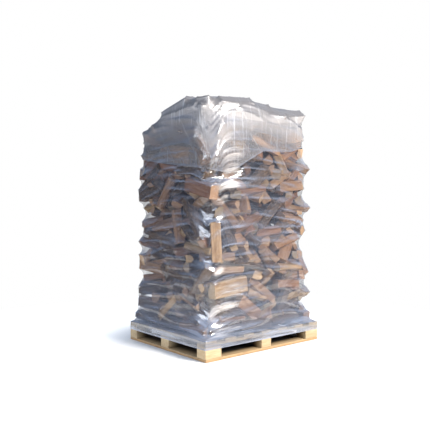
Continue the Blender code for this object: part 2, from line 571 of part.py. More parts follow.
def ray_grid(substeps):
    """Origins and directions, rows by columns, and the reach of each ray to the reference form."""
    points = edge_directions(substeps)
    heights, angles = (refine(values, substeps) for values in ray_rows())
    hem_row = HEM_ROW * substeps
    hem_weight = np.clip(1 - np.abs(np.arange(len(heights)) - hem_row) / (HEM_BLEND_ROWS * substeps), 0, 1)
    warp = hem_height(points)[None, :] - heights[hem_row]
    heights = heights[:, None] + hem_weight[:, None] * warp
    reach = np.linalg.norm(points, axis=1)
    level = points / reach[:, None]
    shape = heights.shape
    origins = np.stack([np.zeros(shape), np.zeros(shape), heights], axis=-1)
    flat = np.cos(angles)[:, None, None] * level[None]
    rise = np.broadcast_to(np.sin(angles)[:, None, None], shape + (1,))
    directions = np.concatenate([flat, rise], axis=-1)
    power = DOME_SQUARENESS
    reference = ((np.cos(angles)[:, None] / reach[None]) ** power +
                 (np.sin(angles)[:, None] / DOME_RISE) ** power) ** (-1 / power)
    return origins, directions, reference


def ray_reach(origins, directions, logs):
    """How far along each ray the last log ends: clip the ray by the eight planes of every log."""
    normals, offsets = log_planes(logs)
    best = np.zeros(origins.shape[:-1])
    for normal, offset in zip(normals, offsets):
        slope = directions @ normal.T
        room = offset - origins @ normal.T
        steep = np.where(np.abs(slope) < TINY, TINY, slope)
        crossing = room / steep
        leave = np.where(slope > 0, crossing, np.inf).min(-1)
        enter = np.where(slope < 0, crossing, -np.inf).max(-1)
        best = np.maximum(best, np.where((leave > enter) & (leave > 0), leave, 0.0))
    return best


def fitted_grid(film, obstacle, substeps):
    """The film at every few rays, raised until its flat triangles clear the obstacle in between."""
    rows, columns = film[::substeps, ::substeps].shape
    row, column = np.meshgrid(np.arange(len(film)), np.arange(film.shape[1]), indexing="ij")
    low = np.minimum(row // substeps, rows - 2)
    up = row / substeps - low
    left = column // substeps
    along = column / substeps - left
    right = (left + 1) % columns
    lower_half = along >= up
    corners = ((low, left, np.where(lower_half, 1 - along, 1 - up)),
               (low, right, np.where(lower_half, along - up, 0.0)),
               (low + 1, right, np.where(lower_half, up, along)),
               (low + 1, left, np.where(lower_half, 0.0, up - along)))
    largest = np.max([weight for _, _, weight in corners], axis=0)
    fitted = film[::substeps, ::substeps].copy()
    for _ in range(FITTING_ROUNDS):
        surface = sum(weight * fitted[level, place] for level, place, weight in corners)
        short = np.maximum(obstacle - surface, 0.0)
        rise = np.zeros_like(fitted)
        for level, place, weight in corners:
            np.maximum.at(rise, (level, place), short * weight / largest)
        fitted += rise
        fitted[-1] = fitted[-1].max()
    return fitted


def pulled_film(origins, directions, obstacle, fixed_rows):
    """Film over the obstacle: each free point moves to the mean of the level and the upright chords."""
    film = obstacle.copy()
    for _ in range(FILM_PULL_ROUNDS):
        points = origins + directions * film[..., None]
        around = (np.roll(points, 1, axis=1) + np.roll(points, -1, axis=1)) / 2
        upright = points.copy()
        upright[1:-1] = (points[:-2] + points[2:]) / 2
        middle = ROUND_PULL * around + (1 - ROUND_PULL) * upright
        film = np.maximum(obstacle, ((middle - origins) * directions).sum(-1))
        film[:fixed_rows] = obstacle[:fixed_rows]
        film[-1] = film[-1].max()
    return film


# Solids on the ray grid

def grid_faces(rows, columns, flip):
    """Triangles of a grid that closes on itself along each row."""
    row, column = np.meshgrid(np.arange(rows - 1), np.arange(columns), indexing="ij")
    here = (row * columns + column).ravel()
    beside = (row * columns + (column + 1) % columns).ravel()
    faces = np.concatenate([np.stack([here, beside, beside + columns], 1),
                            np.stack([here, beside + columns, here + columns], 1)])
    return faces[:, ::-1] if flip else faces


def ring_strip(first, second, columns):
    """Triangles that join two closed rows of the same number of points."""
    column = np.arange(columns)
    beside = (column + 1) % columns
    return np.concatenate([np.stack([first + column, second + beside, first + beside], 1),
                           np.stack([first + column, second + column, second + beside], 1)])


def closing_fan(row_start, tip, columns, flip):
    column = np.arange(columns)
    faces = np.stack([row_start + column, row_start + (column + 1) % columns, np.full(columns, tip)], 1)
    return faces[:, ::-1] if flip else faces


def wrap_solid(name, origins, directions, inner, outer, material):
    """An open tube of film: outer skin, inner skin and the two rims."""
    rows, columns = inner.shape
    points = np.concatenate([(origins + directions * outer[..., None]).reshape(-1, 3),
                             (origins + directions * inner[..., None]).reshape(-1, 3)])
    skin = rows * columns
    top = (rows - 1) * columns
    faces = np.concatenate([grid_faces(rows, columns, False), grid_faces(rows, columns, True) + skin,
                            ring_strip(0, skin, columns), ring_strip(top, skin + top, columns)[:, ::-1]])
    return add_solid(name, points, faces.tolist(), material)


def cap_solid(name, origins, directions, inner, outer, material):
    """A cap of film: two skins that close at the top, and the rim at the hem."""
    rows, columns = inner.shape
    skins = []
    for reach in (outer, inner):
        points = (origins + directions * reach[..., None])[:-1].reshape(-1, 3)
        tip = np.array([[0.0, 0.0, origins[-1, 0, 2] + reach[-1].max()]])
        skins.append(np.concatenate([points, tip]))
    skin = len(skins[0])
    last = (rows - 2) * columns
    faces = np.concatenate([
        grid_faces(rows - 1, columns, False), closing_fan(last, skin - 1, columns, False),
        grid_faces(rows - 1, columns, True) + skin, closing_fan(last + skin, 2 * skin - 1, columns, True),
        ring_strip(0, skin, columns)])
    return add_solid(name, np.concatenate(skins), faces.tolist(), material)


def pile_body(name, origins, directions, reach, bottom, material):
    """The heap: its measured surface, a point on top and a flat base on the deck."""
    rows, columns = reach.shape
    points = (origins + directions * reach[..., None])[:-1].reshape(-1, 3)
    foot = points[:columns].copy()
    foot[:, 2] = bottom
    tip = np.array([[0.0, 0.0, origins[-1, 0, 2] + reach[-1].max()]])
    middle = np.array([[0.0, 0.0, bottom]])
    points = np.concatenate([foot, points, tip, middle])
    last = (rows - 1) * columns
    tip_index = rows * columns
    faces = np.concatenate([grid_faces(rows, columns, False), closing_fan(last, tip_index, columns, False),
                            closing_fan(0, tip_index + 1, columns, True)])
    return add_solid(name, points, faces.tolist(), material)


def add_log(name, corners, material):
    sides = [(i, (i + 1) % 6, (i + 1) % 6 + 6, i + 6) for i in range(6)]
    faces = [(5, 4, 3, 2, 1, 0), (6, 7, 8, 9, 10, 11)] + sides
    log = add_solid(name, corners, faces, material)
    bm = bmesh.new()
    bm.from_mesh(log.data)
    bmesh.ops.recalc_face_normals(bm, faces=bm.faces)
    bm.to_mesh(log.data)
    bm.free()
    return log


def add_pocket(name, logs, index, way):
    """A cutter: the hull of one log, a little larger, and of itself moved straight out of the load."""
    log = one_log(logs, index)
    grown = dict(log)
    grown["half"] = log["half"] + POCKET_GAP
    size = np.abs(log["outline"]).max(axis=1, keepdims=True)
    grown["outline"] = log["outline"] * (1 + POCKET_GAP / size)
    corners = log_corners(grown)[0]
    bm = bmesh.new()
    for point in np.concatenate([corners, corners + POCKET_REACH * way]):
        bm.verts.new(point)
    bmesh.ops.convex_hull(bm, input=list(bm.verts))
    loose = [vertex for vertex in bm.verts if not vertex.link_faces]
    bmesh.ops.delete(bm, geom=loose, context="VERTS")
    mesh = bpy.data.meshes.new(name)
    bm.to_mesh(mesh)
    bm.free()
    cutter = bpy.data.objects.new(name, mesh)
    cutter.display_type = "WIRE"
    cutter.hide_render = True
    bpy.context.scene.collection.objects.link(cutter)
    return cutter


def cut_pockets(pile, cutters):
    """Cuts every pocket out of the heap, then keeps its largest piece."""
    for cutter in cutters:
        modifier = pile.modifiers.new(cutter.name, "BOOLEAN")
        modifier.operation = "DIFFERENCE"
        modifier.solver = "EXACT"
        modifier.object = cutter
    graph = bpy.context.evaluated_depsgraph_get()
    mesh = bpy.data.meshes.new_from_object(pile.evaluated_get(graph))
    pile.modifiers.clear()
    for cutter in cutters:
        bpy.data.objects.remove(cutter, do_unlink=True)
    bm = bmesh.new()
    bm.from_mesh(mesh)
    bmesh.ops.triangulate(bm, faces=bm.faces)
    bmesh.ops.dissolve_degenerate(bm, edges=bm.edges, dist=WELD_DISTANCE)
    islands = []
    unseen = set(bm.faces)
    while unseen:
        edge_of_island = [unseen.pop()]
        island = list(edge_of_island)
        while edge_of_island:
            face = edge_of_island.pop()
            for edge in face.edges:
                for other in edge.link_faces:
                    if other in unseen:
                        unseen.discard(other)
                        island.append(other)
                        edge_of_island.append(other)
        islands.append(island)
    islands.sort(key=len)
    for island in islands[:-1]:
        bmesh.ops.delete(bm, geom=island, context="FACES")
    bm.to_mesh(mesh)
    bm.free()
    pile.data = mesh


def main():
    clear_scene()
    make_pallet()

    ways = np.array([SIDES[row[0]][3] for row in PLACED_LOGS], float)
    placed = seated(placed_log_set([row[:11] for row in PLACED_LOGS]), ways)
    outline = placed_log_set(OUTLINE_LOGS)
    loose = loose_log_set(joined(placed, outline))
    everything = joined(placed, outline, loose)

    woods = {name: make_material(f"{name}_wood", color, SPLIT_ROUGHNESS)
             for name, color in WOOD_COLORS.items()}
    corners = log_corners(placed)
    for index, row in enumerate(PLACED_LOGS):
        add_log(f"log_{index + 1:02d}", corners[index], woods[row[11]])

    origins, directions, reference = ray_grid(SUBSTEPS)
    log_reach = ray_reach(origins, directions, everything)
    obstacle = log_reach + FILM_CLEARANCE
    foot_rows = SUBSTEPS + 1
    obstacle[:foot_rows] = reference[:foot_rows] + FOOT_CLEARANCE
    film = pulled_film(origins, directions, obstacle, foot_rows)
    fitted = fitted_grid(film / reference, obstacle / reference, SUBSTEPS)

    grids = (origins, directions, reference)
    origins, directions, reference = (grid[::SUBSTEPS, ::SUBSTEPS] for grid in grids)
    film_reach = fitted * reference
    rows = len(film_reach)
    layer = np.full((rows, 1), 2 * FILM_LAYER_GAP + FILM_THICKNESS)
    layer[:2] = 0.0
    wrap_rows = 2 + SIDE_ROW_COUNT + WRAP_DOME_ROWS
    wrap = slice(0, wrap_rows)
    cap = slice(HEM_ROW, rows)
    inner = film_reach + layer
    wrap_film = make_material("stretch_film", WRAP_COLOR, FILM_ROUGHNESS, WRAP_ALPHA)
    sheet_film = make_material("sheet_film", SHEET_COLOR, FILM_ROUGHNESS, SHEET_ALPHA)
    wrap_solid("stretch_wrap", origins[wrap], directions[wrap], inner[wrap],
               inner[wrap] + FILM_THICKNESS, wrap_film)
    sheet_inner = film_reach + FILM_LAYER_GAP
    cap_solid("top_sheet", origins[cap], directions[cap], sheet_inner[cap],
              sheet_inner[cap] + FILM_THICKNESS, sheet_film)

    pile_rows = slice(2, rows)
    pile_origins = origins[pile_rows, ::2]
    pile_directions = directions[pile_rows, ::2]
    pile_reach = log_reach[::SUBSTEPS, ::2 * SUBSTEPS][pile_rows] - PILE_SETBACK
    heap = make_material("firewood", PILE_COLOR, SPLIT_ROUGHNESS)
    pile = pile_body("log_pile", pile_origins, pile_directions, pile_reach,
                     PALLET_HEIGHT + SEAT_GAP, heap)
    cutters = [add_pocket(f"pocket_{index + 1:02d}", placed, index, ways[index])
               for index in range(len(PLACED_LOGS))]
    cut_pockets(pile, cutters)


main()
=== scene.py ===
"""A pallet of loose split firewood under clear film: the finished surfaces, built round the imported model."""
import math

import bpy
import numpy as np
from bpy.props import FloatProperty, FloatVectorProperty, IntProperty, PointerProperty
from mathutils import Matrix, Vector


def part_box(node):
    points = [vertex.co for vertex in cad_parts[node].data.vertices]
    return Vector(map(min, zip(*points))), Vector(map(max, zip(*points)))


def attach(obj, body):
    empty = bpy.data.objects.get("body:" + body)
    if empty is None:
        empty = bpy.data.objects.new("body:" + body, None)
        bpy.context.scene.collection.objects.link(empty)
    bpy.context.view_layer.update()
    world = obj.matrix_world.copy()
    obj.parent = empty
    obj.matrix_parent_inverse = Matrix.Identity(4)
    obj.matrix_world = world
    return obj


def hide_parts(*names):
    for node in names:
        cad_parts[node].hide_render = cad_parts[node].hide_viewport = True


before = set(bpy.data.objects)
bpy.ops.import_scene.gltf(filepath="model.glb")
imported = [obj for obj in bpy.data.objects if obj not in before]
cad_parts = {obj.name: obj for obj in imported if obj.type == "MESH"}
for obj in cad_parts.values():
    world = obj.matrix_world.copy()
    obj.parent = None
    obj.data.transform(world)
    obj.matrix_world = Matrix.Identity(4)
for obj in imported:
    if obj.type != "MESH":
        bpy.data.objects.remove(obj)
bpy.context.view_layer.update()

bl_info = {
    "name": "Wrapped firewood pallet",
    "version": (1, 0, 0),
    "blender": (4, 5, 0),
    "location": "View3D > Sidebar > Firewood",
    "description": "Split logs, block pallet and clear film built round a packed frame",
    "category": "Add Mesh",
}

BODY = "root"

# Pallet
PALLET_LENGTH = 1.200
PALLET_WIDTH = 1.000
PALLET_HEIGHT = 0.150
PALLET_GIRTH = 2 * (PALLET_LENGTH + PALLET_WIDTH)
PALLET_NODES = ("deck_board", "stringer", "block", "base_board")
SAWN_CHAMFER = 0.003
SAWN_ROUGH = 0.0004
SAWN_TILT = 0.004
SAWN_STEPS = 13

# Load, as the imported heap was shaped
LOAD_LENGTH = 1.10
LOAD_WIDTH = 0.90
LOAD_CORNER = 0.06
LOOSE_LOG_INSET = 0.030
LOAD_TOP = 1.950
SHOULDER_DROP = 0.10
SHOULDER_REACH = 0.16
LOOSE_LOG_COUNT = 450
LOOSE_LOG_SEED = 11
LOG_LENGTH_RANGE = (0.24, 0.32)
LOG_WIDTH_RANGE = (0.06, 0.115)
LOG_DEPTH_RANGE = (0.055, 0.09)
BEADS_PER_LOG = 4
BEAD_RADIUS = 0.036
SETTLING_ROUNDS = 110
LOAD_BULGE = 0.022
PUSH_SHARE = 0.35
OUTER_LAYER = 0.11
OUTER_DEPTHS = (0.000, 0.022)
LARGEST_SHIFT = 0.06
SHOULDER_START = 1.84
TINY = 1e-9
CORNER_LOG_COUNT = 76
CORNER_PITCH = 0.09
CORNER_TURN = 0.35
CORNER_FALL = 0.17
CORNER_FALL_REACH = 0.45
SLACK_RANGE = (-0.035, 0.012)
LIE_SPREAD = (1.0, 1.0, 0.55)
CORE_DEPTH = 0.26

# Logs in the hidden core
CORE_SEED = 3
CORE_PITCH = 0.095
CORE_LOG_LENGTH = 0.30
CORE_OVERLAP = 0.05
CORE_SPACING = 1.03
CORE_SHIFT = 0.008
CORE_LEAN = 0.06
CORE_ROLL = 0.5
CORE_SHORTEST = 0.85
CORE_SECTION_RANGE = (0.07, 0.10)

# Surface of the logs
PLACED_STEPS = 19
LOOSE_STEPS = 11
LOG_BOW = 0.0015
LOG_CUT_TILT = 0.025
SHARP_ANGLE = 32
LOOSE_BARK_CHANCE = 0.35
TONE_RANGE = (0.82, 1.18)
TINT_RANGE = (0.95, 1.05)
SAWN_TONE_RANGE = (0.85, 1.12)
GRAIN_SHIFT = 5
HEART_SPREAD = 0.2
HEART_PLACE = (0.0, -0.6)
LAYERS = (("lower", 0.0, 0.60), ("middle", 0.60, 1.05), ("high", 1.05, 1.50), ("upper", 1.50, math.inf))

# Seeds of the random draws; a piece adds its own number to the seed of its kind
WOOD_SEED = 5
SAWN_TONE_SEED = 21
SAWN_SEED = 300
PLACED_TONE_SEED = 500
PLACED_SEED = 700
LOOSE_TONE_SEED = 900
LOOSE_SEED = 950

# Rays that the film is measured along
WRAP_HEM_HEIGHT = 0.085
SIDE_TOP = 1.62
FIRST_SIDE_ROW = 0.20
SIDE_ROW_COUNT = 17
DOME_ANGLES = (8, 16, 25, 35, 48, 62, 76, 90)
WRAP_DOME_ROWS = 2
COLUMN_STEP = 0.10
LEVEL_PULL = 0.5
COARSE_STRIDES = (4, 2, 1)
STIFF_CELLS = 5
STIFF_ROWS = (16.0, 19.0)
STIFF_ROUNDS = 10
EDGE_CLEARANCE = 0.0012
CONTACT_FADE = 0.006
FOLD_SEED = 8
FOLD_WAVES = 16
FOLD_TURNS = 6
FOLD_RISES = (3.0, 10.0)
FOLD_START = 0.05
HEM_STRIPE = 0.022
FOOT_FADE = (0.15, 0.40)
SHOULDER_FADE = (1.56, 1.72)
TOP_FADE = (1.80, 2.00)
ROW_SUBSTEPS = 12
COLUMN_SUBSTEPS = 7
HEM_ROW = 17
HEM_BLEND_ROWS = 3.0
POLE_FADE_ROWS = 2
HEM_POINTS = (
    (0.00, 1.37), (0.20, 1.35), (0.50, 1.53), (0.80, 1.55), (1.00, 1.60), (1.50, 1.50),
    (2.00, 1.38), (2.50, 1.50), (3.00, 1.50), (3.50, 1.43), (4.00, 1.37),
)

# Milky patches where the film is crumpled, which also hold painted glare, most of them round the corner at
# (-X, -Y): metres round the load from that corner, metres up, reach round and up, strength; a clearer patch
# has a strength below 0
GLARE_PATCHES = (
    (0.15, 1.62, 0.13, 0.10, 0.55),
    (0.25, 1.53, 0.16, 0.09, 0.65),
    (0.22, 1.40, 0.15, 0.06, 0.75),
    (0.18, 1.28, 0.15, 0.05, 0.85),
    (0.14, 1.19, 0.07, 0.04, 0.90),
    (0.10, 0.97, 0.05, 0.06, 0.45),
    (0.11, 0.66, 0.06, 0.04, 0.80),
    (0.20, 0.49, 0.20, 0.07, 0.60),
    (0.14, 0.385, 0.22, 0.035, 1.00),
    (0.16, 0.20, 0.22, 0.05, 0.50),
    (0.05, 0.38, 0.10, 0.08, 0.55),
    (4.20, 1.84, 0.16, 0.06, 0.55),
    (4.33, 1.57, 0.09, 0.16, -0.70),
    (3.98, 1.52, 0.14, 0.06, -0.50),
    (4.02, 1.71, 0.13, 0.05, -0.40),
    (0.56, 1.63, 0.13, 0.06, -0.40),
    (0.98, 1.68, 0.12, 0.05, -0.35),
)

SECTIONS = {
    "slab": ((-0.50, -0.36), (-0.40, -0.50), (0.46, -0.50), (0.50, 0.30), (0.40, 0.50), (-0.46, 0.46)),
    "wedge": ((0.00, -0.50), (0.50, 0.10), (0.33, 0.40), (0.00, 0.50), (-0.33, 0.40), (-0.50, 0.10)),
    "half": ((-0.46, -0.10), (-0.22, -0.46), (0.20, -0.50), (0.45, -0.12), (0.50, 0.50), (-0.50, 0.50)),
}
SECTION_NAMES = ("slab", "wedge", "half")
BARK_EDGES = {"slab": (0, 1, 0, 0, 0, 0), "wedge": (0, 1, 1, 1, 1, 0), "half": (1, 1, 1, 1, 0, 1)}

SIDES = {
    "right": ((0.0, -0.45, 0.0), (1, 0, 0), (0, 0, 1), (0, -1, 0)),
    "left": ((-0.55, 0.0, 0.0), (0, -1, 0), (0, 0, 1), (-1, 0, 0)),
    "front": ((-0.515, -0.415, 0.0), (0.77, -0.64, 0), (0, 0, 1), (-0.64, -0.77, 0)),
    "back": ((0.0, 0.45, 0.0), (-1, 0, 0), (0, 0, 1), (0, 1, 0)),
    "far": ((0.55, 0.0, 0.0), (0, 1, 0), (0, 0, 1), (1, 0, 0)),
    "top": ((0.0, 0.0, LOAD_TOP), (1, 0, 0), (0, 1, 0), (0, 0, 1)),
}

# Logs that show by themselves: side, place to the right, place up, depth of the outer face behind the
# film, slant, lean outwards at the right end, roll, length, width, depth, section, wood
PLACED_LOGS = (
    ("front", 0.062, 0.840, 0.00, -87, 0, 0, 0.290, 0.080, 0.065, "slab", "pale"),
    ("right", -0.300, 1.625, 0.00, -28, 0, 0, 0.270, 0.150, 0.080, "slab", "pale"),
    ("front", -0.015, 1.560, 0.00, -60, 12, 0, 0.270, 0.105, 0.080, "half", "russet"),
    ("right", 0.345, 1.675, 0.00, 13, 0, 0, 0.260, 0.120, 0.090, "slab", "tan"),
    ("right", 0.345, 1.272, 0.00, 6, 3, 0, 0.250, 0.090, 0.070, "slab", "tan"),
    ("right", 0.445, 1.092, 0.00, 3, 8, 0, 0.260, 0.072, 0.070, "wedge", "tan"),
    ("right", 0.290, 0.818, 0.00, 16, 0, 25, 0.270, 0.070, 0.080, "slab", "tan"),
    ("right", 0.335, 0.611, 0.00, -2, 0, 0, 0.260, 0.072, 0.070, "half", "pale"),
    ("right", -0.135, 0.668, 0.00, -10, 0, 0, 0.310, 0.062, 0.070, "half", "bark"),
    ("right", 0.500, 0.680, 0.00, -65, 8, 0, 0.310, 0.050, 0.070, "slab", "tan"),
    ("right", 0.105, 0.745, 0.00, -34, 0, 20, 0.240, 0.060, 0.060, "wedge", "tan"),
    ("right", -0.125, 0.975, 0.00, 21, 0, 0, 0.290, 0.085, 0.075, "wedge", "russet"),
    ("right", 0.085, 0.900, 0.00, 7, 0, 0, 0.270, 0.075, 0.070, "half", "russet"),
    ("right", -0.100, 1.225, 0.00, 7, 0, 0, 0.300, 0.075, 0.070, "half", "russet"),
    ("right", 0.260, 1.445, 0.00, -58, 0, 0, 0.240, 0.090, 0.070, "wedge", "pale"),
    ("right", 0.020, 0.448, 0.00, -38, 4, 15, 0.310, 0.080, 0.070, "slab", "tan"),
    ("right", -0.312, 0.500, 0.00, 6, 0, 0, 0.320, 0.125, 0.080, "slab", "pale"),
    ("right", -0.125, 0.322, 0.00, -37, 0, 0, 0.240, 0.115, 0.070, "slab", "tan"),
    ("right", 0.100, 0.265, 0.00, 25, 0, 0, 0.280, 0.068, 0.065, "wedge", "pale"),
    ("right", 0.310, 0.480, 0.00, -3, 0, 0, 0.250, 0.065, 0.070, "slab", "russet"),
    ("right", -0.190, 0.800, 0.00, 0, 74, 0, 0.260, 0.085, 0.080, "wedge", "tan"),
    ("right", -0.290, 1.120, 0.00, 0, 70, 0, 0.270, 0.085, 0.080, "wedge", "tan"),
    ("left", 0.252, 1.014, 0.00, -55, 0, 0, 0.340, 0.085, 0.065, "half", "bark"),
    ("left", 0.330, 1.058, 0.075, -5, 0, 0, 0.230, 0.105, 0.085, "half", "dark"),
    ("left", 0.325, 1.235, 0.01, -13, 0, 0, 0.310, 0.110, 0.080, "slab", "russet"),
    ("left", 0.318, 0.545, 0.00, 48, 0, -10, 0.310, 0.105, 0.080, "wedge", "bark"),
    ("left", -0.130, 0.860, 0.00, -6, 0, 0, 0.350, 0.100, 0.080, "half", "dark"),
    ("left", 0.070, 1.500, 0.00, -8, 0, 0, 0.330, 0.130, 0.085, "slab", "tan"),
    ("left", -0.330, 1.330, 0.00, 40, -4, 0, 0.300, 0.085, 0.070, "half", "dark"),
    ("left", 0.010, 0.590, 0.00, -13, 0, 0, 0.300, 0.085, 0.070, "half", "dark"),
    ("left", 0.060, 1.720, 0.00, -14, 0, 0, 0.260, 0.085, 0.070, "half", "tan"),
    ("left", -0.320, 0.480, 0.00, 14, -8, 0, 0.280, 0.080, 0.070, "wedge", "dark"),
    ("left", 0.200, 0.300, 0.00, -20, 0, 0, 0.290, 0.095, 0.070, "half", "bark"),
)

# Logs at the load's corners, edges, top and foot that give it its outline
OUTLINE_LOGS = (
    ("left", -0.335, 0.790, 0.00, -12, -12, 0, 0.270, 0.080, 0.075, "wedge"),
    ("left", -0.335, 1.215, 0.00, 8, -10, 0, 0.250, 0.110, 0.080, "slab"),
    ("left", -0.315, 1.510, 0.01, -10, -12, 0, 0.260, 0.085, 0.075, "wedge"),
    ("left", -0.290, 1.715, 0.02, 12, -10, 0, 0.270, 0.090, 0.080, "slab"),
    ("left", -0.330, 0.300, 0.00, -8, -10, 0, 0.280, 0.090, 0.080, "slab"),
    ("left", -0.320, 1.365, 0.01, -5, -8, 0, 0.270, 0.100, 0.080, "slab"),
    ("left", -0.310, 0.980, 0.02, 9, -8, 0, 0.260, 0.090, 0.075, "half"),
    ("left", -0.330, 0.610, 0.01, -7, -10, 0, 0.270, 0.090, 0.075, "slab"),
    ("left", -0.335, 0.425, 0.00, 10, -10, 0, 0.260, 0.080, 0.075, "half"),
    ("far", -0.280, 1.575, 0.03, 12, -8, 0, 0.270, 0.085, 0.075, "slab"),
    ("far", -0.290, 1.330, 0.03, -9, -8, 0, 0.260, 0.080, 0.075, "half"),
    ("far", -0.300, 0.925, 0.02, 7, -8, 0, 0.270, 0.085, 0.075, "wedge"),
    ("far", -0.295, 0.520, 0.02, -8, -8, 0, 0.260, 0.080, 0.075, "slab"),
    ("right", 0.440, 1.450, 0.00, -14, 10, 0, 0.270, 0.080, 0.075, "wedge"),
    ("right", 0.440, 0.365, 0.00, 12, 10, 0, 0.270, 0.080, 0.070, "wedge"),
    ("right", 0.370, 1.840, 0.00, 8, 0, 0, 0.280, 0.110, 0.100, "wedge"),
    ("back", 0.410, 1.350, 0.00, 20, 8, 0, 0.280, 0.090, 0.080, "wedge"),
    ("back", 0.410, 0.700, 0.00, -15, 8, 0, 0.280, 0.090, 0.080, "slab"),
    ("back", -0.410, 1.000, 0.00, 12, -8, 0, 0.280, 0.090, 0.080, "wedge"),
    ("far", 0.320, 0.500, 0.00, 18, 8, 0, 0.280, 0.090, 0.080, "slab"),
    ("top", -0.250, 0.050, 0.00, 35, 0, 0, 0.300, 0.110, 0.090, "wedge"),
    ("top", 0.020, -0.180, 0.00, -30, 0, 0, 0.300, 0.100, 0.090, "half"),
    ("top", 0.220, 0.150, 0.00, 70, 0, 0, 0.290, 0.100, 0.080, "wedge"),
    ("left", 0.020, 1.862, 0.010, 12, 0, 0, 0.310, 0.090, 0.080, "half"),
    ("right", -0.230, 1.885, 0.010, 5, 0, 0, 0.310, 0.090, 0.080, "wedge"),
    ("top", -0.370, -0.300, 0.045, 20, 0, 0, 0.310, 0.110, 0.080, "slab"),
    ("left", 0.280, 0.197, -0.012, -3, 0, 0, 0.300, 0.085, 0.080, "half"),
    ("left", -0.040, 0.200, -0.012, 2, 0, 0, 0.320, 0.085, 0.080, "slab"),
    ("left", -0.345, 0.197, -0.014, -2, 0, 0, 0.280, 0.085, 0.080, "half"),
    ("right", -0.380, 0.200, -0.012, 4, 0, 0, 0.290, 0.085, 0.080, "half"),
    ("right", -0.060, 0.197, -0.012, -3, 0, 0, 0.310, 0.080, 0.080, "slab"),
    ("right", 0.270, 0.200, -0.012, 2, 0, 0, 0.310, 0.085, 0.080, "wedge"),
    ("back", -0.330, 0.200, -0.020, -3, 0, 0, 0.300, 0.085, 0.080, "half"),
    ("back", 0.020, 0.197, -0.020, 2, 0, 0, 0.310, 0.080, 0.080, "wedge"),
    ("back", 0.350, 0.200, -0.020, 4, 0, 0, 0.290, 0.085, 0.080, "slab"),
    ("far", -0.300, 0.198, -0.012, 3, 0, 0, 0.300, 0.085, 0.080, "slab"),
    ("far", 0.060, 0.197, -0.020, -2, 0, 0, 0.310, 0.080, 0.080, "half"),
    ("left", -0.300, 1.595, 0.030, 8, -6, 0, 0.260, 0.080, 0.075, "half"),
    ("left", -0.300, 1.440, 0.030, -6, -6, 0, 0.260, 0.080, 0.075, "slab"),
    ("left", -0.300, 1.105, 0.030, 5, -6, 0, 0.260, 0.080, 0.075, "wedge"),
    ("left", -0.300, 0.890, 0.030, -9, -6, 0, 0.260, 0.080, 0.075, "half"),
    ("left", -0.300, 0.515, 0.030, 6, -6, 0, 0.260, 0.080, 0.075, "slab"),
    ("far", -0.280, 1.455, 0.035, 7, -6, 0, 0.260, 0.080, 0.075, "half"),
    ("far", -0.280, 1.060, 0.035, -8, -6, 0, 0.260, 0.080, 0.075, "slab"),
    ("far", -0.280, 0.720, 0.035, 5, -6, 0, 0.260, 0.080, 0.075, "half"),
    ("far", -0.290, 0.345, 0.030, -6, -6, 0, 0.260, 0.080, 0.075, "wedge"),
)


# Values that a user may change

class FirewoodSizes(bpy.types.PropertyGroup):
    film_clearance: FloatProperty(
        name="Film clearance", description="Gap between the wood and the wound film",
        default=0.0060, min=0.002, max=0.02, unit="LENGTH")
    sheet_gap: FloatProperty(
        name="Sheet gap", description="Gap between the cover sheet and the wound film over it",
        default=0.0015, min=0.0005, max=0.01, unit="LENGTH")
    bark_depth: FloatProperty(
        name="Bark depth", description="Height of the bark's ridges",
        default=0.0028, min=0.0, max=0.006, unit="LENGTH")
    split_depth: FloatProperty(
        name="Split depth", description="Height of the torn fibres on split faces",
        default=0.0016, min=0.0, max=0.005, unit="LENGTH")
    film_rounds: IntProperty(
        name="Film rounds", description="Rounds of tightening that draw the film off the wood, on each grid",
        default=180, min=10, max=2000)
    fold_height: FloatProperty(
        name="Fold height", description="Height of the ridges drawn out round the film",
        default=0.005, min=0.0, max=0.010, unit="LENGTH")


class FirewoodColors(bpy.types.PropertyGroup):
    pallet: FloatVectorProperty(
        name="Pallet", description="Sawn pallet wood", subtype="COLOR", size=3,
        default=(0.47, 0.355, 0.205), min=0.0, max=1.0)
    film: FloatVectorProperty(
        name="Film", description="Haze of the wound film", subtype="COLOR", size=3,
        default=(0.112, 0.130, 0.175), min=0.0, max=1.0)
    sheet: FloatVectorProperty(
        name="Sheet", description="Haze of the cover sheet", subtype="COLOR", size=3,
        default=(0.46, 0.45, 0.46), min=0.0, max=1.0)
    floor: FloatVectorProperty(
        name="Floor", description="Plain floor of the stage", subtype="COLOR", size=3,
        default=(0.80, 0.80, 0.80), min=0.0, max=1.0)


WOOD_COLORS = {
    "pale": (0.42, 0.27, 0.14),
    "tan": (0.31, 0.165, 0.085),
    "russet": (0.21, 0.088, 0.050),
    "bark": (0.110, 0.066, 0.040),
    "dark": (0.050, 0.037, 0.031),
}
LOOSE_WOODS = ("pale", "tan", "tan", "russet", "russet", "bark", "dark")
BARK_SHARE = {"pale": 0.0, "tan": 0.0, "russet": 0.1, "bark": 0.45, "dark": 0.8}
BARKED_WOODS = ("bark", "dark")
BARK_COLOR = (0.085, 0.055, 0.038)


# Logs as straight prisms: centres, three unit axes, sizes and cross-sections in whole arrays

def unit(vectors):
    return vectors / np.linalg.norm(vectors, axis=-1, keepdims=True)


def log_set(centres, along, across, sizes, outlines):
    along = unit(along)
    across = unit(across - (across * along).sum(-1, keepdims=True) * along)
    outward = np.cross(along, across)
    return {"centre": centres, "along": along, "across": across, "outward": outward,
            "half": sizes[:, 0] / 2, "outline": outlines * sizes[:, None, 1:]}


def joined(*sets):
    return {key: np.concatenate([logs[key] for logs in sets]) for key in sets[0]}


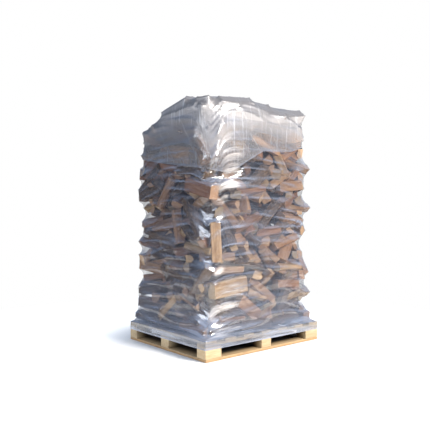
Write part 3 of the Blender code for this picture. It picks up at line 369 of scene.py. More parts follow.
def placed_log_set(table):
    """Logs from rows of side, place, angles and size. A row's outer face lies on its side's film."""
    rows = []
    for side, right, up, sunk, slant, lean, roll, length, width, depth, section in table:
        origin, right_way, up_way, out_way = (np.array(part, float) for part in SIDES[side])
        slant, lean, roll = (math.radians(angle) for angle in (slant, lean, roll))
        flat = math.cos(slant) * right_way + math.sin(slant) * up_way
        upright = -math.sin(slant) * right_way + math.cos(slant) * up_way
        along = math.cos(lean) * flat + math.sin(lean) * out_way
        outward = math.cos(lean) * out_way - math.sin(lean) * flat
        across = math.cos(roll) * upright - math.sin(roll) * outward
        reach = (abs(math.sin(lean)) * length + math.cos(lean) * depth) / 2
        centre = origin + right * right_way + up * up_way - (reach + sunk) * out_way
        rows.append((centre, along, across, (length, width, depth), SECTIONS[section]))
    parts = [np.array([row[index] for row in rows], float) for index in range(5)]
    parts[2] = -parts[2]
    return log_set(*parts)


def log_corners(logs):
    """The twelve corners of each log: its outline at one end, then at the other."""
    ring = (logs["outline"][:, :, :1] * logs["across"][:, None] +
            logs["outline"][:, :, 1:] * logs["outward"][:, None])
    end = (logs["half"][:, None] * logs["along"])[:, None]
    centre = logs["centre"][:, None]
    return np.concatenate([centre + ring - end, centre + ring + end], axis=1)


def log_planes(logs):
    """Outward unit normals and offsets of each log's eight faces: six round the outline, two ends."""
    outline = logs["outline"]
    edge = np.roll(outline, -1, axis=1) - outline
    flat = unit(np.stack([edge[..., 1], -edge[..., 0]], axis=-1))
    normals = flat[..., :1] * logs["across"][:, None] + flat[..., 1:] * logs["outward"][:, None]
    offsets = (flat * outline).sum(-1)
    normals = np.concatenate([normals, logs["along"][:, None], -logs["along"][:, None]], axis=1)
    offsets = np.concatenate([offsets, logs["half"][:, None], logs["half"][:, None]], axis=1)
    offsets = offsets + (normals * logs["centre"][:, None]).sum(-1)
    return normals, offsets


def seated_as_packed(logs):
    """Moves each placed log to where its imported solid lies: the middles of both boxes meet."""
    corners = log_corners(logs)
    middle = (corners.min(axis=1) + corners.max(axis=1)) / 2
    boxes = [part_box(f"log_{index + 1:02d}") for index in range(len(middle))]
    packed = np.array([[(low[axis] + high[axis]) / 2 for axis in range(3)] for low, high in boxes])
    logs["centre"] = logs["centre"] + packed - middle
    return logs


# Loose logs: a random heap of bead chains pushed apart inside the load's form

def load_top(x, y):
    """Height of the load's top: level, falling as a quarter round towards the edges, and evenly towards
    the corner at (-X, +Y), where the load is lowest."""
    inner_x = np.abs(x) - (LOAD_LENGTH / 2 - SHOULDER_REACH)
    inner_y = np.abs(y) - (LOAD_WIDTH / 2 - SHOULDER_REACH)
    edge = np.clip(np.hypot(np.maximum(inner_x, 0), np.maximum(inner_y, 0)) / SHOULDER_REACH, 0, 1)
    away = np.hypot(x + LOAD_LENGTH / 2, y - LOAD_WIDTH / 2)
    fall = CORNER_FALL * np.clip(1 - away / CORNER_FALL_REACH, 0, 1)
    return LOAD_TOP - fall - SHOULDER_DROP * (1 - np.sqrt(np.maximum(1 - edge ** 2, 0)))


def push_inside(points, radius, slack):
    """Moves bead centres back inside the load: its floor, its top and its rounded upright sides."""
    x, y, z = points[:, 0].copy(), points[:, 1].copy(), points[:, 2].copy()
    corner = LOAD_CORNER
    limit_x = LOAD_LENGTH / 2 - LOOSE_LOG_INSET + slack - radius
    limit_y = LOAD_WIDTH / 2 - LOOSE_LOG_INSET + slack - radius
    over_x = np.maximum(np.abs(x) - (limit_x - corner), 0)
    over_y = np.maximum(np.abs(y) - (limit_y - corner), 0)
    over = np.hypot(over_x, over_y)
    shrink = np.where(over > corner, corner / np.maximum(over, TINY), 1.0)
    x = np.sign(x) * (np.abs(x) - over_x * (1 - shrink))
    y = np.sign(y) * (np.abs(y) - over_y * (1 - shrink))
    z = np.clip(z, PALLET_HEIGHT + radius, load_top(x, y) - LOOSE_LOG_INSET + slack - radius)
    return np.stack([x, y, z], axis=1)


def side_depth(points):
    """How deep points lie behind the load's rounded upright sides, and the level ways out."""
    half = np.array([LOAD_LENGTH, LOAD_WIDTH]) / 2 - LOAD_CORNER
    flat = points[..., :2]
    bulge = LOAD_BULGE * (1 - np.clip(np.abs(flat[..., ::-1]) / half[::-1], 0, 1) ** 2)
    past = np.abs(flat) - half - bulge
    corner = np.maximum(past, 0)
    beyond = np.linalg.norm(corner, axis=-1)
    depth = LOAD_CORNER - beyond - np.minimum(past.max(axis=-1), 0)
    straight = np.eye(2)[past.argmax(axis=-1)]
    ways = np.where(beyond[..., None] > TINY, corner / np.maximum(beyond, TINY)[..., None], straight)
    ways = np.concatenate([ways * np.sign(flat), np.zeros_like(points[..., :1])], axis=-1)
    return np.where(points[..., 2] < SHOULDER_START, depth, np.inf), ways


def top_depth(points):
    """How deep points lie below the load's top, and the way up."""
    ways = np.broadcast_to((0.0, 0.0, 1.0), points.shape)
    return load_top(points[..., 0], points[..., 1]) - points[..., 2], ways


def drawn_to_film(logs, depths):
    """Moves each outer log until its outermost corner lies as deep under the load's form as given."""
    rows = np.arange(len(depths))
    for measure in (side_depth, top_depth):
        depth, ways = measure(log_corners(logs))
        nearest = depth.argmin(axis=1)
        shift = np.clip(depth[rows, nearest] - depths, -LARGEST_SHIFT, LARGEST_SHIFT)
        shift[depth[rows, nearest] > OUTER_LAYER] = 0.0
        logs["centre"] = logs["centre"] + shift[:, None] * ways[rows, nearest]
    return logs


def push_from_core(points):
    """Moves bead centres out of the load's hidden core, towards its nearest side or top."""
    room = np.stack([LOAD_LENGTH / 2 - CORE_DEPTH - np.abs(points[:, 0]),
                     LOAD_WIDTH / 2 - CORE_DEPTH - np.abs(points[:, 1]),
                     LOAD_TOP - CORE_DEPTH - points[:, 2]], axis=1)
    inside = (room > 0).all(axis=1)
    nearest = room.argmin(axis=1)
    move = np.zeros_like(points)
    rows = np.arange(len(points))
    way = np.where(nearest == 2, 1.0, np.where(points[rows, nearest] < 0, -1.0, 1.0))
    move[rows, nearest] = np.where(inside, room[rows, nearest] * way, 0.0)
    return points + move


def close_pairs(beads, others, reach):
    """Index pairs of beads nearer than reach, found in upright slices of the load as tall as the reach."""
    order = np.argsort(others[:, 2], kind="stable")
    heights = others[order, 2]
    first = np.searchsorted(heights, beads[:, 2] - reach)
    last = np.searchsorted(heights, beads[:, 2] + reach)
    counts = last - first
    rows = np.repeat(np.arange(len(beads)), counts)
    places = np.arange(counts.sum()) - np.repeat(np.cumsum(counts) - counts, counts) + first[rows]
    partners = order[places]
    near = ((beads[rows] - others[partners]) ** 2).sum(1) < reach ** 2
    return rows[near], partners[near]


def stacked_in_corners(centre, along, length):
    """Puts the first logs at the load's four upright corners, along one side and the other in turn."""
    index = np.arange(CORNER_LOG_COUNT)
    level = index // 4
    signs = np.stack([np.where(index % 2, 1, -1), np.where(index % 4 < 2, 1, -1)], axis=1)
    axis = (level + index) % 2
    half = np.array([LOAD_LENGTH, LOAD_WIDTH]) / 2 - BEAD_RADIUS
    centre[index, :2] = signs * half
    centre[index, axis] -= signs[index, axis] * (length[index] / 2 - BEAD_RADIUS)
    centre[index, 2] = PALLET_HEIGHT + BEAD_RADIUS + level * CORNER_PITCH
    along[index] = unit(np.eye(3)[axis] + along[index] * CORNER_TURN)
    return centre, along


def loose_log_set(fixed):
    """Chains of beads, one per log, drawn at random and pushed apart from each other and the fixed logs."""
    rng = np.random.default_rng(LOOSE_LOG_SEED)
    count = LOOSE_LOG_COUNT
    length = rng.uniform(*LOG_LENGTH_RANGE, count)
    width = rng.uniform(*LOG_WIDTH_RANGE, count)
    depth = rng.uniform(*LOG_DEPTH_RANGE, count)
    slack = rng.uniform(*SLACK_RANGE, count)
    section = rng.integers(0, 3, count)
    centre = rng.uniform((-LOAD_LENGTH / 2, -LOAD_WIDTH / 2, PALLET_HEIGHT),
                         (LOAD_LENGTH / 2, LOAD_WIDTH / 2, LOAD_TOP), (count, 3))
    centre = push_from_core(centre)
    along = unit(rng.normal(size=(count, 3)) * LIE_SPREAD)
    centre, along = stacked_in_corners(centre, along, length)
    across = rng.normal(size=(count, 3))
    shares = np.linspace(0, 1, BEADS_PER_LOG)
    span = length - 2 * BEAD_RADIUS
    start = centre - along * span[:, None] / 2
    end = centre + along * span[:, None] / 2
    reach = fixed["half"][:, None, None] - BEAD_RADIUS
    fixed_beads = (fixed["centre"][:, None] + fixed["along"][:, None] * reach *
                   (2 * shares[None, :, None] - 1)).reshape(-1, 3)
    bead_slack = np.repeat(slack, BEADS_PER_LOG)
    owner = np.repeat(np.arange(count), BEADS_PER_LOG)
    for _ in range(SETTLING_ROUNDS):
        beads = (start[:, None] + (end - start)[:, None] * shares[None, :, None]).reshape(-1, 3)
        push = np.zeros_like(beads)
        for others, own in ((beads, owner), (fixed_beads, None)):
            first, second = close_pairs(beads, others, 2 * BEAD_RADIUS)
            if own is not None:
                apart = own[first] != own[second]
                first, second = first[apart], second[apart]
            offset = beads[first] - others[second]
            distance = np.linalg.norm(offset, axis=1, keepdims=True) + TINY
            np.add.at(push, first, offset * (2 * BEAD_RADIUS / distance - 1))
        target = push_inside(push_from_core(beads + PUSH_SHARE * push), BEAD_RADIUS, bead_slack)
        move = (target - beads).reshape(count, BEADS_PER_LOG, 3)
        lean = (2 * shares - 1)[None, :, None]
        shift = move.mean(1)
        turn = (move * lean).sum(1) / (lean ** 2).sum()
        start = start + shift - turn
        end = end + shift + turn
        middle = (start + end) / 2
        along = unit(end - start)
        start = middle - along * span[:, None] / 2
        end = middle + along * span[:, None] / 2
    sections = np.array([SECTIONS[name] for name in SECTION_NAMES], float)[section]
    logs = log_set(middle, along, across, np.stack([length, width, depth], axis=1), sections)
    return drawn_to_film(logs, rng.uniform(*OUTER_DEPTHS, count)), section


# Rays that measure the load: level ones from its upright axis, and above the sides a fan from one point

def edge_points(substeps):
    """Points spaced evenly round the pallet's edge, anticlockwise from the corner at (-X, -Y)."""
    corners = np.array([(-1, -1), (1, -1), (1, 1), (-1, 1), (-1, -1)], float)
    corners = corners * (PALLET_LENGTH / 2, PALLET_WIDTH / 2)
    points = []
    for first, last in zip(corners[:-1], corners[1:]):
        steps = round(np.abs(last - first).sum() / COLUMN_STEP) * substeps
        shares = np.arange(steps)[:, None] / steps
        points.append(first + (last - first) * shares)
    return np.concatenate(points)


def refine(values, substeps):
    """The values with even steps put between each pair."""
    places = np.arange((len(values) - 1) * substeps + 1) / substeps
    return np.interp(places, np.arange(len(values)), values)


def ray_rows():
    """Heights of the level rows and angles of the fan's rows, one entry per row for both."""
    side = np.linspace(FIRST_SIDE_ROW, SIDE_TOP, SIDE_ROW_COUNT)
    heights = np.concatenate([[WRAP_HEM_HEIGHT, PALLET_HEIGHT], side, np.full(len(DOME_ANGLES), SIDE_TOP)])
    angles = np.concatenate([np.zeros(2 + SIDE_ROW_COUNT), np.radians(DOME_ANGLES)])
    return heights, angles


def side_share(points):
    """How far round the pallet each edge point lies: 0 to 4, one for each side."""
    sides = np.array([PALLET_LENGTH, PALLET_WIDTH, PALLET_LENGTH, PALLET_WIDTH])
    steps = np.linalg.norm(np.diff(points, axis=0, append=points[:1]), axis=1)
    travelled = np.concatenate([[0.0], np.cumsum(steps)[:-1]])
    return np.interp(travelled, np.concatenate([[0.0], np.cumsum(sides)]), np.arange(5))


def hem_height(points):
    """Height of the cover sheet's hem over points round the pallet's edge."""
    return np.interp(side_share(points), [place for place, _ in HEM_POINTS],
                     [height for _, height in HEM_POINTS])


def ray_grid():
    """Origins and directions, rows by columns, and the reach of each ray to the pallet's outline."""
    points = edge_points(COLUMN_SUBSTEPS)
    heights, angles = (refine(values, ROW_SUBSTEPS) for values in ray_rows())
    hem_row = HEM_ROW * ROW_SUBSTEPS
    from_hem = np.abs(np.arange(len(heights)) - hem_row)
    hem_weight = np.clip(1 - from_hem / (HEM_BLEND_ROWS * ROW_SUBSTEPS), 0, 1)
    warp = hem_height(points)[None, :] - heights[hem_row]
    heights = heights[:, None] + hem_weight[:, None] * warp
    reach = np.linalg.norm(points, axis=1)
    level = points / reach[:, None]
    shape = heights.shape
    origins = np.stack([np.zeros(shape), np.zeros(shape), heights], axis=-1)
    flat = np.cos(angles)[:, None, None] * level[None]
    rise = np.broadcast_to(np.sin(angles)[:, None, None], shape + (1,))
    directions = np.concatenate([flat, rise], axis=-1)
    return origins, directions, np.broadcast_to(reach, shape)


def raised_at_tips(reach, origins, directions, tips):
    """The reach of the rays nearest to each tip, raised to the tip: a tip may lie between the rays."""
    flat = directions[0, :, :2]
    turns = np.unwrap(np.arctan2(flat[:, 1], flat[:, 0]))
    turn = np.arctan2(tips[:, 1], tips[:, 0])
    column = np.interp((turn - turns[0]) % (2 * np.pi), turns - turns[0], np.arange(len(turns)))
    column = np.rint(column).astype(int) % len(turns)
    heights = origins[:, column, 2]
    angles = np.arcsin(directions[:, 0, 2])
    rise = np.arctan2(tips[:, 2] - SIDE_TOP, np.hypot(tips[:, 0], tips[:, 1]))
    fan = angles[:, None]
    miss = np.where(fan > 0, (rise - fan) * LOAD_WIDTH / 2, tips[:, 2] - heights)
    row = np.abs(miss).argmin(axis=0)
    away = ((tips - origins[row, column]) * directions[row, column]).sum(-1)
    np.maximum.at(reach, (row, column), away)
    return reach


def ray_reach(origins, directions, logs):
    """How far along each ray the last log ends: clip the ray by the eight planes of every log."""
    normals, offsets = log_planes(logs)
    origins = origins.reshape(-1, 3)
    shape = directions.shape[:-1]
    directions = directions.reshape(-1, 3)
    best = np.zeros(len(origins))
    radius = logs["half"] + np.abs(logs["outline"]).max(axis=(1, 2))
    for normal, offset, centre, size in zip(normals, offsets, logs["centre"], radius):
        way = centre - origins
        forward = (way * directions).sum(-1)
        near = np.flatnonzero((forward > 0) & ((way ** 2).sum(-1) - forward ** 2 < size ** 2))
        slope = directions[near] @ normal.T
        room = offset - origins[near] @ normal.T
        steep = np.where(np.abs(slope) < TINY, TINY, slope)
        crossing = room / steep
        leave = np.where(slope > 0, crossing, np.inf).min(-1)
        enter = np.where(slope < 0, crossing, -np.inf).max(-1)
        best[near] = np.maximum(best[near], np.where((leave > enter) & (leave > 0), leave, 0.0))
    return best.reshape(shape)


# The heap is worked out once and shared by the operators

HEAP = {}


def core_log_set():
    """Logs that fill the load's hidden core: layers of level logs, each turned against the last."""
    rng = np.random.default_rng(CORE_SEED)
    layers = np.arange(PALLET_HEIGHT + CORE_PITCH / 2, LOAD_TOP - CORE_DEPTH, CORE_PITCH)
    rows = []
    for level, height in enumerate(layers):
        long_side, short_side = (1, 0) if level % 2 else (0, 1)
        reach = np.array([LOAD_LENGTH, LOAD_WIDTH]) / 2 - CORE_DEPTH + CORE_OVERLAP
        ends = np.arange(-reach[long_side] + CORE_LOG_LENGTH / 2, reach[long_side],
                         CORE_LOG_LENGTH * CORE_SPACING)
        places = np.arange(-reach[short_side], reach[short_side], CORE_PITCH)
        for end in ends:
            for place in places:
                centre = np.zeros(3)
                centre[long_side], centre[short_side], centre[2] = end, place, height
                rows.append((centre, np.eye(3)[long_side], np.eye(3)[2]))
    centre, along, across = (np.array([row[index] for row in rows]) for index in range(3))
    count = len(rows)
    centre = centre + rng.uniform(-CORE_SHIFT, CORE_SHIFT, (count, 3))
    along = along + rng.normal(size=(count, 3)) * CORE_LEAN
    across = across + rng.normal(size=(count, 3)) * CORE_ROLL
    section = rng.integers(0, 3, count)
    thin, thick = CORE_SECTION_RANGE
    sizes = rng.uniform((CORE_LOG_LENGTH * CORE_SHORTEST, thin, thin), (CORE_LOG_LENGTH, thick, thick),
                        (count, 3))
    outlines = np.array([SECTIONS[name] for name in SECTION_NAMES], float)[section]
    return log_set(centre, along, across, sizes, outlines), section


def heap():
    """Every log with its section and wood, in the order placed, outline, loose, core."""
    if not HEAP:
        placed = seated_as_packed(placed_log_set([row[:11] for row in PLACED_LOGS]))
        outline = placed_log_set(OUTLINE_LOGS)
        loose, section = loose_log_set(joined(placed, outline))
        core, core_section = core_log_set()
        section = np.concatenate([section, core_section])
        names = [row[10] for row in PLACED_LOGS] + [row[10] for row in OUTLINE_LOGS]
        names += [SECTION_NAMES[index] for index in section]
        rng = np.random.default_rng(WOOD_SEED)
        woods = [row[11] for row in PLACED_LOGS]
        woods += [LOOSE_WOODS[index] for index in rng.integers(0, len(LOOSE_WOODS), len(names) - len(woods))]
        HEAP.update(logs=joined(placed, outline, loose, core), sections=names, woods=woods)
    return HEAP


# Shader arithmetic

class Signal:
    """A shader socket that takes part in Python arithmetic: each operator adds one Math node."""

    def __init__(self, finish, socket):
        self.finish = finish
        self.socket = socket

    def math(self, operation, *values):
        return self.finish.make("ShaderNodeMath", {"operation": operation}, values)

    def __add__(self, other):
        return self.math("ADD", self, other)

    __radd__ = __add__

    def __sub__(self, other):
        return self.math("SUBTRACT", self, other)

    def __rsub__(self, other):
        return self.math("SUBTRACT", other, self)

    def __mul__(self, other):
        return self.math("MULTIPLY", self, other)

    __rmul__ = __mul__

    def smooth(self, low, high):
        """0 below low, 1 above high, and a smooth step between."""
        return self.finish.make("ShaderNodeMapRange", {"interpolation_type": "SMOOTHSTEP"},
                                (self, low, high, 0.0, 1.0))

    def kept(self, low=0.0, high=1.0):
        return self.finish.make("ShaderNodeClamp", {}, (self, low, high))


class Finish:
    """A material in the making: a Principled shader and the nodes that feed it."""

    def __init__(self, name, roughness=0.7, **constants):
        self.material = bpy.data.materials.new(name)
        self.material.use_nodes = True
        self.tree = self.material.node_tree
        self.shader = self.tree.nodes["Principled BSDF"]
        self.shader.inputs["Roughness"].default_value = roughness
        for socket, value in constants.items():
            self.shader.inputs[socket.replace("_", " ")].default_value = value

    def make(self, kind, settings=None, inputs=(), output=0):
        """Adds a node: its settings first, then the values or links of its sockets, by place or by name."""
        node = self.tree.nodes.new(kind)
        for name, value in (settings or {}).items():
            if name == "stops":
                self.set_stops(node.color_ramp, value)
            else:
                setattr(node, name, value)
        pairs = inputs.items() if isinstance(inputs, dict) else enumerate(inputs)
        for key, value in pairs:
            if isinstance(value, Signal):
                self.tree.links.new(value.socket, node.inputs[key])
            elif value is not None:
                node.inputs[key].default_value = value
        return Signal(self, node.outputs[output])

    @staticmethod
    def set_stops(ramp, stops):
        while len(ramp.elements) < len(stops):
            ramp.elements.new(1.0)
        for element, (place, color) in zip(ramp.elements, stops):
            element.position = place
            element.color = (*color, 1.0)

    def attribute(self, name, output=1):
        return self.make("ShaderNodeAttribute", {"attribute_name": name}, output=output)

    def place(self):
        return self.make("ShaderNodeTexCoord", output=3)

    def part(self, vector, index):
        """One of a vector's three numbers."""
        return self.make("ShaderNodeSeparateXYZ", {}, (vector,), output=index)

    def from_middle(self):
        """Distances from the pallet's middle, along its length and across it."""
        sides = self.make("ShaderNodeVectorMath", {"operation": "ABSOLUTE"}, (self.place(),))
        return self.part(sides, 0), self.part(sides, 1)

    def stretched(self, vector, scale, shift=(0, 0, 0)):
        return self.make("ShaderNodeMapping", {}, {"Vector": vector, "Scale": scale, "Location": shift})

    def noise(self, vector, scale, detail=3.0, roughness=0.5, distortion=0.0):
        return self.make("ShaderNodeTexNoise", {}, {
            "Vector": vector, "Scale": scale, "Detail": detail, "Roughness": roughness,
            "Distortion": distortion})

    def cells(self, vector, scale, feature="F1"):
        return self.make("ShaderNodeTexVoronoi", {"feature": feature}, {"Vector": vector, "Scale": scale})

    def mix(self, factor, first, second):
        """One colour over another."""
        first, second = (value if isinstance(value, Signal) else (*value, 1.0) for value in (first, second))
        return self.make("ShaderNodeMix", {"data_type": "RGBA"},
                         {0: factor, 6: first, 7: second}, output=2)

    def ramp(self, factor, stops):
        return self.make("ShaderNodeValToRGB", {"stops": stops}, (factor,))

    def bump(self, height, distance, strength=1.0, normal=None):
        return self.make("ShaderNodeBump", {}, {
            "Height": height, "Distance": distance, "Strength": strength, "Normal": normal})

    def feed(self, **links):
        for socket, value in links.items():
            self.tree.links.new(value.socket, self.shader.inputs[socket.replace("_", " ")])
        return self.material


# Wood finishes. The attribute "grain" holds a log's own coordinates: across, outward and along, in metres.

def split_wood():
    """Torn fibres along the grain, darker bands of late wood, and bark where the attribute "bark" says."""
    finish = Finish("split_wood", 0.78, Specular_IOR_Level=0.25)
    grain = finish.attribute("grain")
    tone = finish.attribute("tone", output=0)
    bark = finish.attribute("bark", output=2)
    long_grain = finish.stretched(grain, (1.0, 1.0, 0.045))
    fibres = finish.noise(long_grain, 260.0, 4.0, 0.65)
    bands = finish.noise(finish.stretched(grain, (1.0, 1.0, 0.10)), 46.0, 3.0, 0.6, 0.6)
    blotches = finish.noise(grain, 16.0, 3.0, 0.6)
    light = fibres * 0.55 + bands * 0.65 - 0.1
    wood = finish.mix(light.smooth(0.30, 0.78), finish.mix(0.62, tone, (0.105, 0.045, 0.02)),
                      finish.mix(0.22, tone, (0.64, 0.54, 0.40)))
    wood = finish.mix(blotches.smooth(0.52, 0.72) * 0.45, wood, finish.mix(0.5, tone, (0.17, 0.07, 0.033)))
    rough_bark = finish.stretched(grain, (1.0, 1.0, 0.30))
    plates = finish.cells(rough_bark, 95.0, "DISTANCE_TO_EDGE")
    crust = finish.noise(rough_bark, 150.0, 5.0, 0.7)
    bark_color = finish.ramp(crust * 0.75 + plates * 0.9, [
        (0.22, (0.017, 0.012, 0.009)), (0.45, BARK_COLOR), (0.72, (0.20, 0.14, 0.10))])
    edge = (bark + (crust - 0.5) * 0.5).smooth(0.42, 0.58)
    color = finish.mix(edge, wood, bark_color)
    fine = finish.bump(fibres + bands * 0.8, 0.0016, 0.7)
    coarse = finish.bump(crust * edge + plates.smooth(0.0, 0.25) * edge, 0.0045, 0.8, fine)
    rough = 0.70 + fibres * 0.16
    return finish.feed(Base_Color=color, Normal=coarse, Roughness=rough)


def end_grain():
    """Growth rings round the log's heart, fine radial checks and the saw's faint marks."""
    finish = Finish("end_grain", 0.85, Specular_IOR_Level=0.2)
    grain = finish.attribute("grain")
    heart = finish.attribute("heart")
    tone = finish.attribute("tone", output=0)
    radius = finish.make("ShaderNodeVectorMath", {"operation": "LENGTH"}, (heart,), output=1)
    wobble = finish.noise(grain, 30.0, 2.0)
    turns = radius * 1150.0 + wobble * 9.0
    rings = turns.math("SINE", turns)
    checks = finish.noise(finish.stretched(heart, (1.0, 1.0, 0.0)), 210.0, 4.0, 0.7)
    saw = finish.noise(finish.stretched(grain, (0.15, 1.0, 0.15)), 520.0, 2.0)
    base = finish.mix(0.34, tone, (0.62, 0.49, 0.32))
    color = finish.mix((rings * 0.5 + 0.5) * 0.42, base, finish.mix(0.5, tone, (0.13, 0.06, 0.027)))
    color = finish.mix(checks.smooth(0.62, 0.74) * 0.5, color, (0.09, 0.045, 0.025))
    bump = finish.bump(rings * 0.3 + saw + checks, 0.0010, 0.6)
    return finish.feed(Base_Color=color, Normal=bump)


def pallet_wood():
    """Sawn softwood: long grain, a few knots, weathered patches, an orange cast near the floor, and darker
    the farther in it lies, where no light falls."""
    finish = Finish("pallet_wood", 0.75, Specular_IOR_Level=0.3)
    grain = finish.attribute("grain")
    tone = finish.attribute("tone", output=0)
    place = finish.place()
    height = finish.part(place, 2)
    bend = finish.noise(grain, 7.0, 2.0)
    lines = finish.noise(finish.stretched(grain, (1.0, 1.0, 0.05)), 190.0, 4.0, 0.6)
    broad = finish.noise(finish.stretched(grain, (1.0, 1.0, 0.10)), 42.0, 3.0, 0.6, 0.8)
    knots = finish.cells(finish.stretched(grain, (1.0, 1.0, 0.32)), 15.0)
    knot = 1 - knots.smooth(0.06, 0.20)
    light = lines * 0.5 + broad * 0.6 + bend * 0.1
    color = finish.mix(light.smooth(0.38, 0.82), finish.mix(0.5, tone, (0.28, 0.165, 0.075)),
                       finish.mix(0.25, tone, (0.64, 0.56, 0.42)))
    color = finish.mix(knot * 0.7, color, (0.13, 0.06, 0.025))
    stain = finish.noise(place, 9.0, 5.0, 0.65)
    color = finish.mix(stain.smooth(0.56, 0.74) * 0.6, color, (0.13, 0.095, 0.065))
    low = 1 - height.smooth(0.012, 0.024)
    orange = finish.mix(stain.smooth(0.3, 0.8), (0.42, 0.20, 0.065), (0.22, 0.115, 0.05))
    color = finish.mix(low * 0.55, color, orange)
    across, back = finish.from_middle()
    from_end, from_side = PALLET_LENGTH / 2 - across, PALLET_WIDTH / 2 - back
    nearest = from_end.math("MINIMUM", from_end, from_side)
    inside = (nearest - low * 0.05).smooth(0.0, 0.10)
    color = finish.mix(inside * 0.94, color, (0.014, 0.007, 0.003))
    bump = finish.bump(lines + broad * 0.6 + stain * 0.4, 0.0012, 0.6)
    return finish.feed(Base_Color=color, Normal=bump)


def clear_film(name, color, base_alpha, contact_drop, streak_share, sheet):
    """Thin film: a see-through haze that clears where it lies on wood, with drawn streaks and gloss, and
    painted light by slope: the wound film has a painted sky reflection where it faces up and painted shade
    where it faces down, the cover sheet has painted shade where it faces up and a little where it faces
    down, and both have painted shade on slopes that face partly up above the shoulder; the crumpled patches
    carry painted glare. Attribute "film" holds metres round the load and metres up it, "contact" is 1 where
    it touches a log, "tilt" is the height of its unit normal, "hem" is 1 at the lower edge, and "milk" is
    how crumpled it is and where glare is painted, below 0 where it is clearer."""
    finish = Finish(name, 0.3, Coat_Weight=1.0, Coat_Roughness=0.11, Coat_IOR=2.3)
    film = finish.attribute("film")
    contact = finish.attribute("contact", output=2)
    tilt = finish.attribute("tilt", output=2)
    hem = finish.attribute("hem", output=2)
    milk = finish.attribute("milk", output=2)
    height = finish.part(film, 1)
    wide = finish.noise(finish.stretched(film, (2.2, 26.0, 1.0)), 1.0, 4.0, 0.6, 0.4)
    thin = finish.noise(finish.stretched(film, (5.0, 190.0, 1.0)), 1.0, 3.0, 0.65, 0.3)
    hair = finish.noise(finish.stretched(film, (12.0, 620.0, 1.0)), 1.0, 2.0, 0.6)
    clouds = finish.noise(finish.stretched(film, (3.0, 4.5, 1.0)), 1.0, 4.0, 0.6)
    streaks = thin.smooth(0.50, 0.78) * 0.40 + hair.smooth(0.54, 0.80) * 0.25 + wide.smooth(0.48, 0.72) * 0.45
    foot = 1 - height.smooth(*FOOT_FADE)
    # Painted reflection: sheen runs from 0 where the film faces down to 1 where it faces up, and the haze
    # thickens with it
    sheen = (tilt * (1 - foot * 0.55) + (wide - 0.5) * 0.34 + (thin - 0.5) * 0.16).smooth(-0.16, 0.38)
    alpha = base_alpha + (clouds - 0.5) * 0.20 + streaks * streak_share - contact * contact_drop
    alpha = alpha + (sheen - 0.35) * 0.28
    # Crumpled, hazier film, and in the glare patches painted glare as well
    torn_and_glare = (milk * 1.35 + (wide - 0.5) * 1.8 + (thin - 0.5) * 1.6 + (clouds - 0.5) * 0.8).smooth(0.45, 1.45)
    alpha = alpha + torn_and_glare * 0.26 + milk.kept(-1.0, 0.0) * 0.40
    top = height.smooth(*TOP_FADE)
    shoulder = height.smooth(*SHOULDER_FADE)
    if sheet:
        folds = finish.noise(finish.stretched(film, (60.0, 2.4, 1.0)), 1.0, 3.0, 0.6, 0.5)
        turned = finish.make("ShaderNodeVectorRotate", {"rotation_type": "Z_AXIS"},
                             {"Vector": film, "Angle": 0.9})
        creases = finish.noise(finish.stretched(turned, (1.6, 34.0, 1.0)), 1.0, 2.0, 0.5, 0.3)
        crease = creases.smooth(0.60, 0.64) * (1 - creases.smooth(0.64, 0.70))
        patches = finish.noise(finish.stretched(film, (2.6, 2.2, 1.0), (3.1, 1.7, 0)), 1.0, 2.0)
        fold = folds.smooth(0.54, 0.68) * patches.smooth(0.42, 0.58) * (1 - top)
        alpha = alpha + fold * 0.24 + crease * 0.20 + hem * 0.10 + height.smooth(1.55, 1.90) * 0.30
        crumple = finish.noise(finish.place(), 9.0, 3.0, 0.5, 0.6)
        drawn = (wide * 0.6 + thin * 0.2 + clouds * 1.4) * (1 - top) + crumple * top * 1.6
        relief = drawn + fold * 1.2 + crease * (1 - top) * 0.6
    else:
        edge = 1 - height.smooth(0.14, 0.17)
        alpha = alpha + foot * 0.10 + edge * ((wide - 0.5) * 0.9 + (thin - 0.5) * 0.5 + 0.12) + hem * 0.20
        alpha = alpha * (1 - height.smooth(1.60, 1.74) * 0.65)
        relief = wide * 1.3 + thin * 0.5 + hair * 0.15 + clouds * 0.8
    alpha = alpha.kept(0.04, 0.9)
    # Painted light by slope: where the film faces down its colour is darkened, a painted shade, strongly on
    # the wound film and slightly on the cover sheet; where it faces up the wound film gets a painted sky
    # reflection and the cover sheet a painted shade
    shaded = finish.mix(0.10 if sheet else 0.55, color, (0.03, 0.035, 0.05))
    if sheet:
        painted_facing_up = finish.mix(0.90, color, (0.165, 0.16, 0.17))
    else:
        painted_facing_up = finish.mix(0.45, color, (0.34, 0.40, 0.54))
    pale = finish.mix(sheen, shaded, painted_facing_up)
    pale = finish.mix(streaks.kept() * (1 - top) * 0.40, pale, (0.38, 0.43, 0.56))
    pale = finish.mix(hem * 0.50, pale, (0.44, 0.49, 0.64))
    if sheet:
        pale = finish.mix(fold * 0.55, pale, (0.60, 0.62, 0.68))
    # Painted glare in warm white, over film that is partly really crumpled and hazier
    pale = finish.mix(torn_and_glare, pale, (0.66, 0.62, 0.60))
    # Painted shade on slopes above the shoulder that face partly up, where the lamp lights the film most; the
    # flat top is spared
    painted_shade_on_lit = tilt.smooth(0.08, 0.42) * (1 - tilt.smooth(0.55, 0.95)) * shoulder
    pale = finish.mix(painted_shade_on_lit * 0.50, pale, (0.085, 0.085, 0.092))
    bump = finish.bump(relief, 0.004, 0.6)
    shine = 1 - shoulder * 0.90
    return finish.feed(Base_Color=pale, Alpha=alpha, Normal=bump, Coat_Weight=shine)


# Meshes from whole arrays

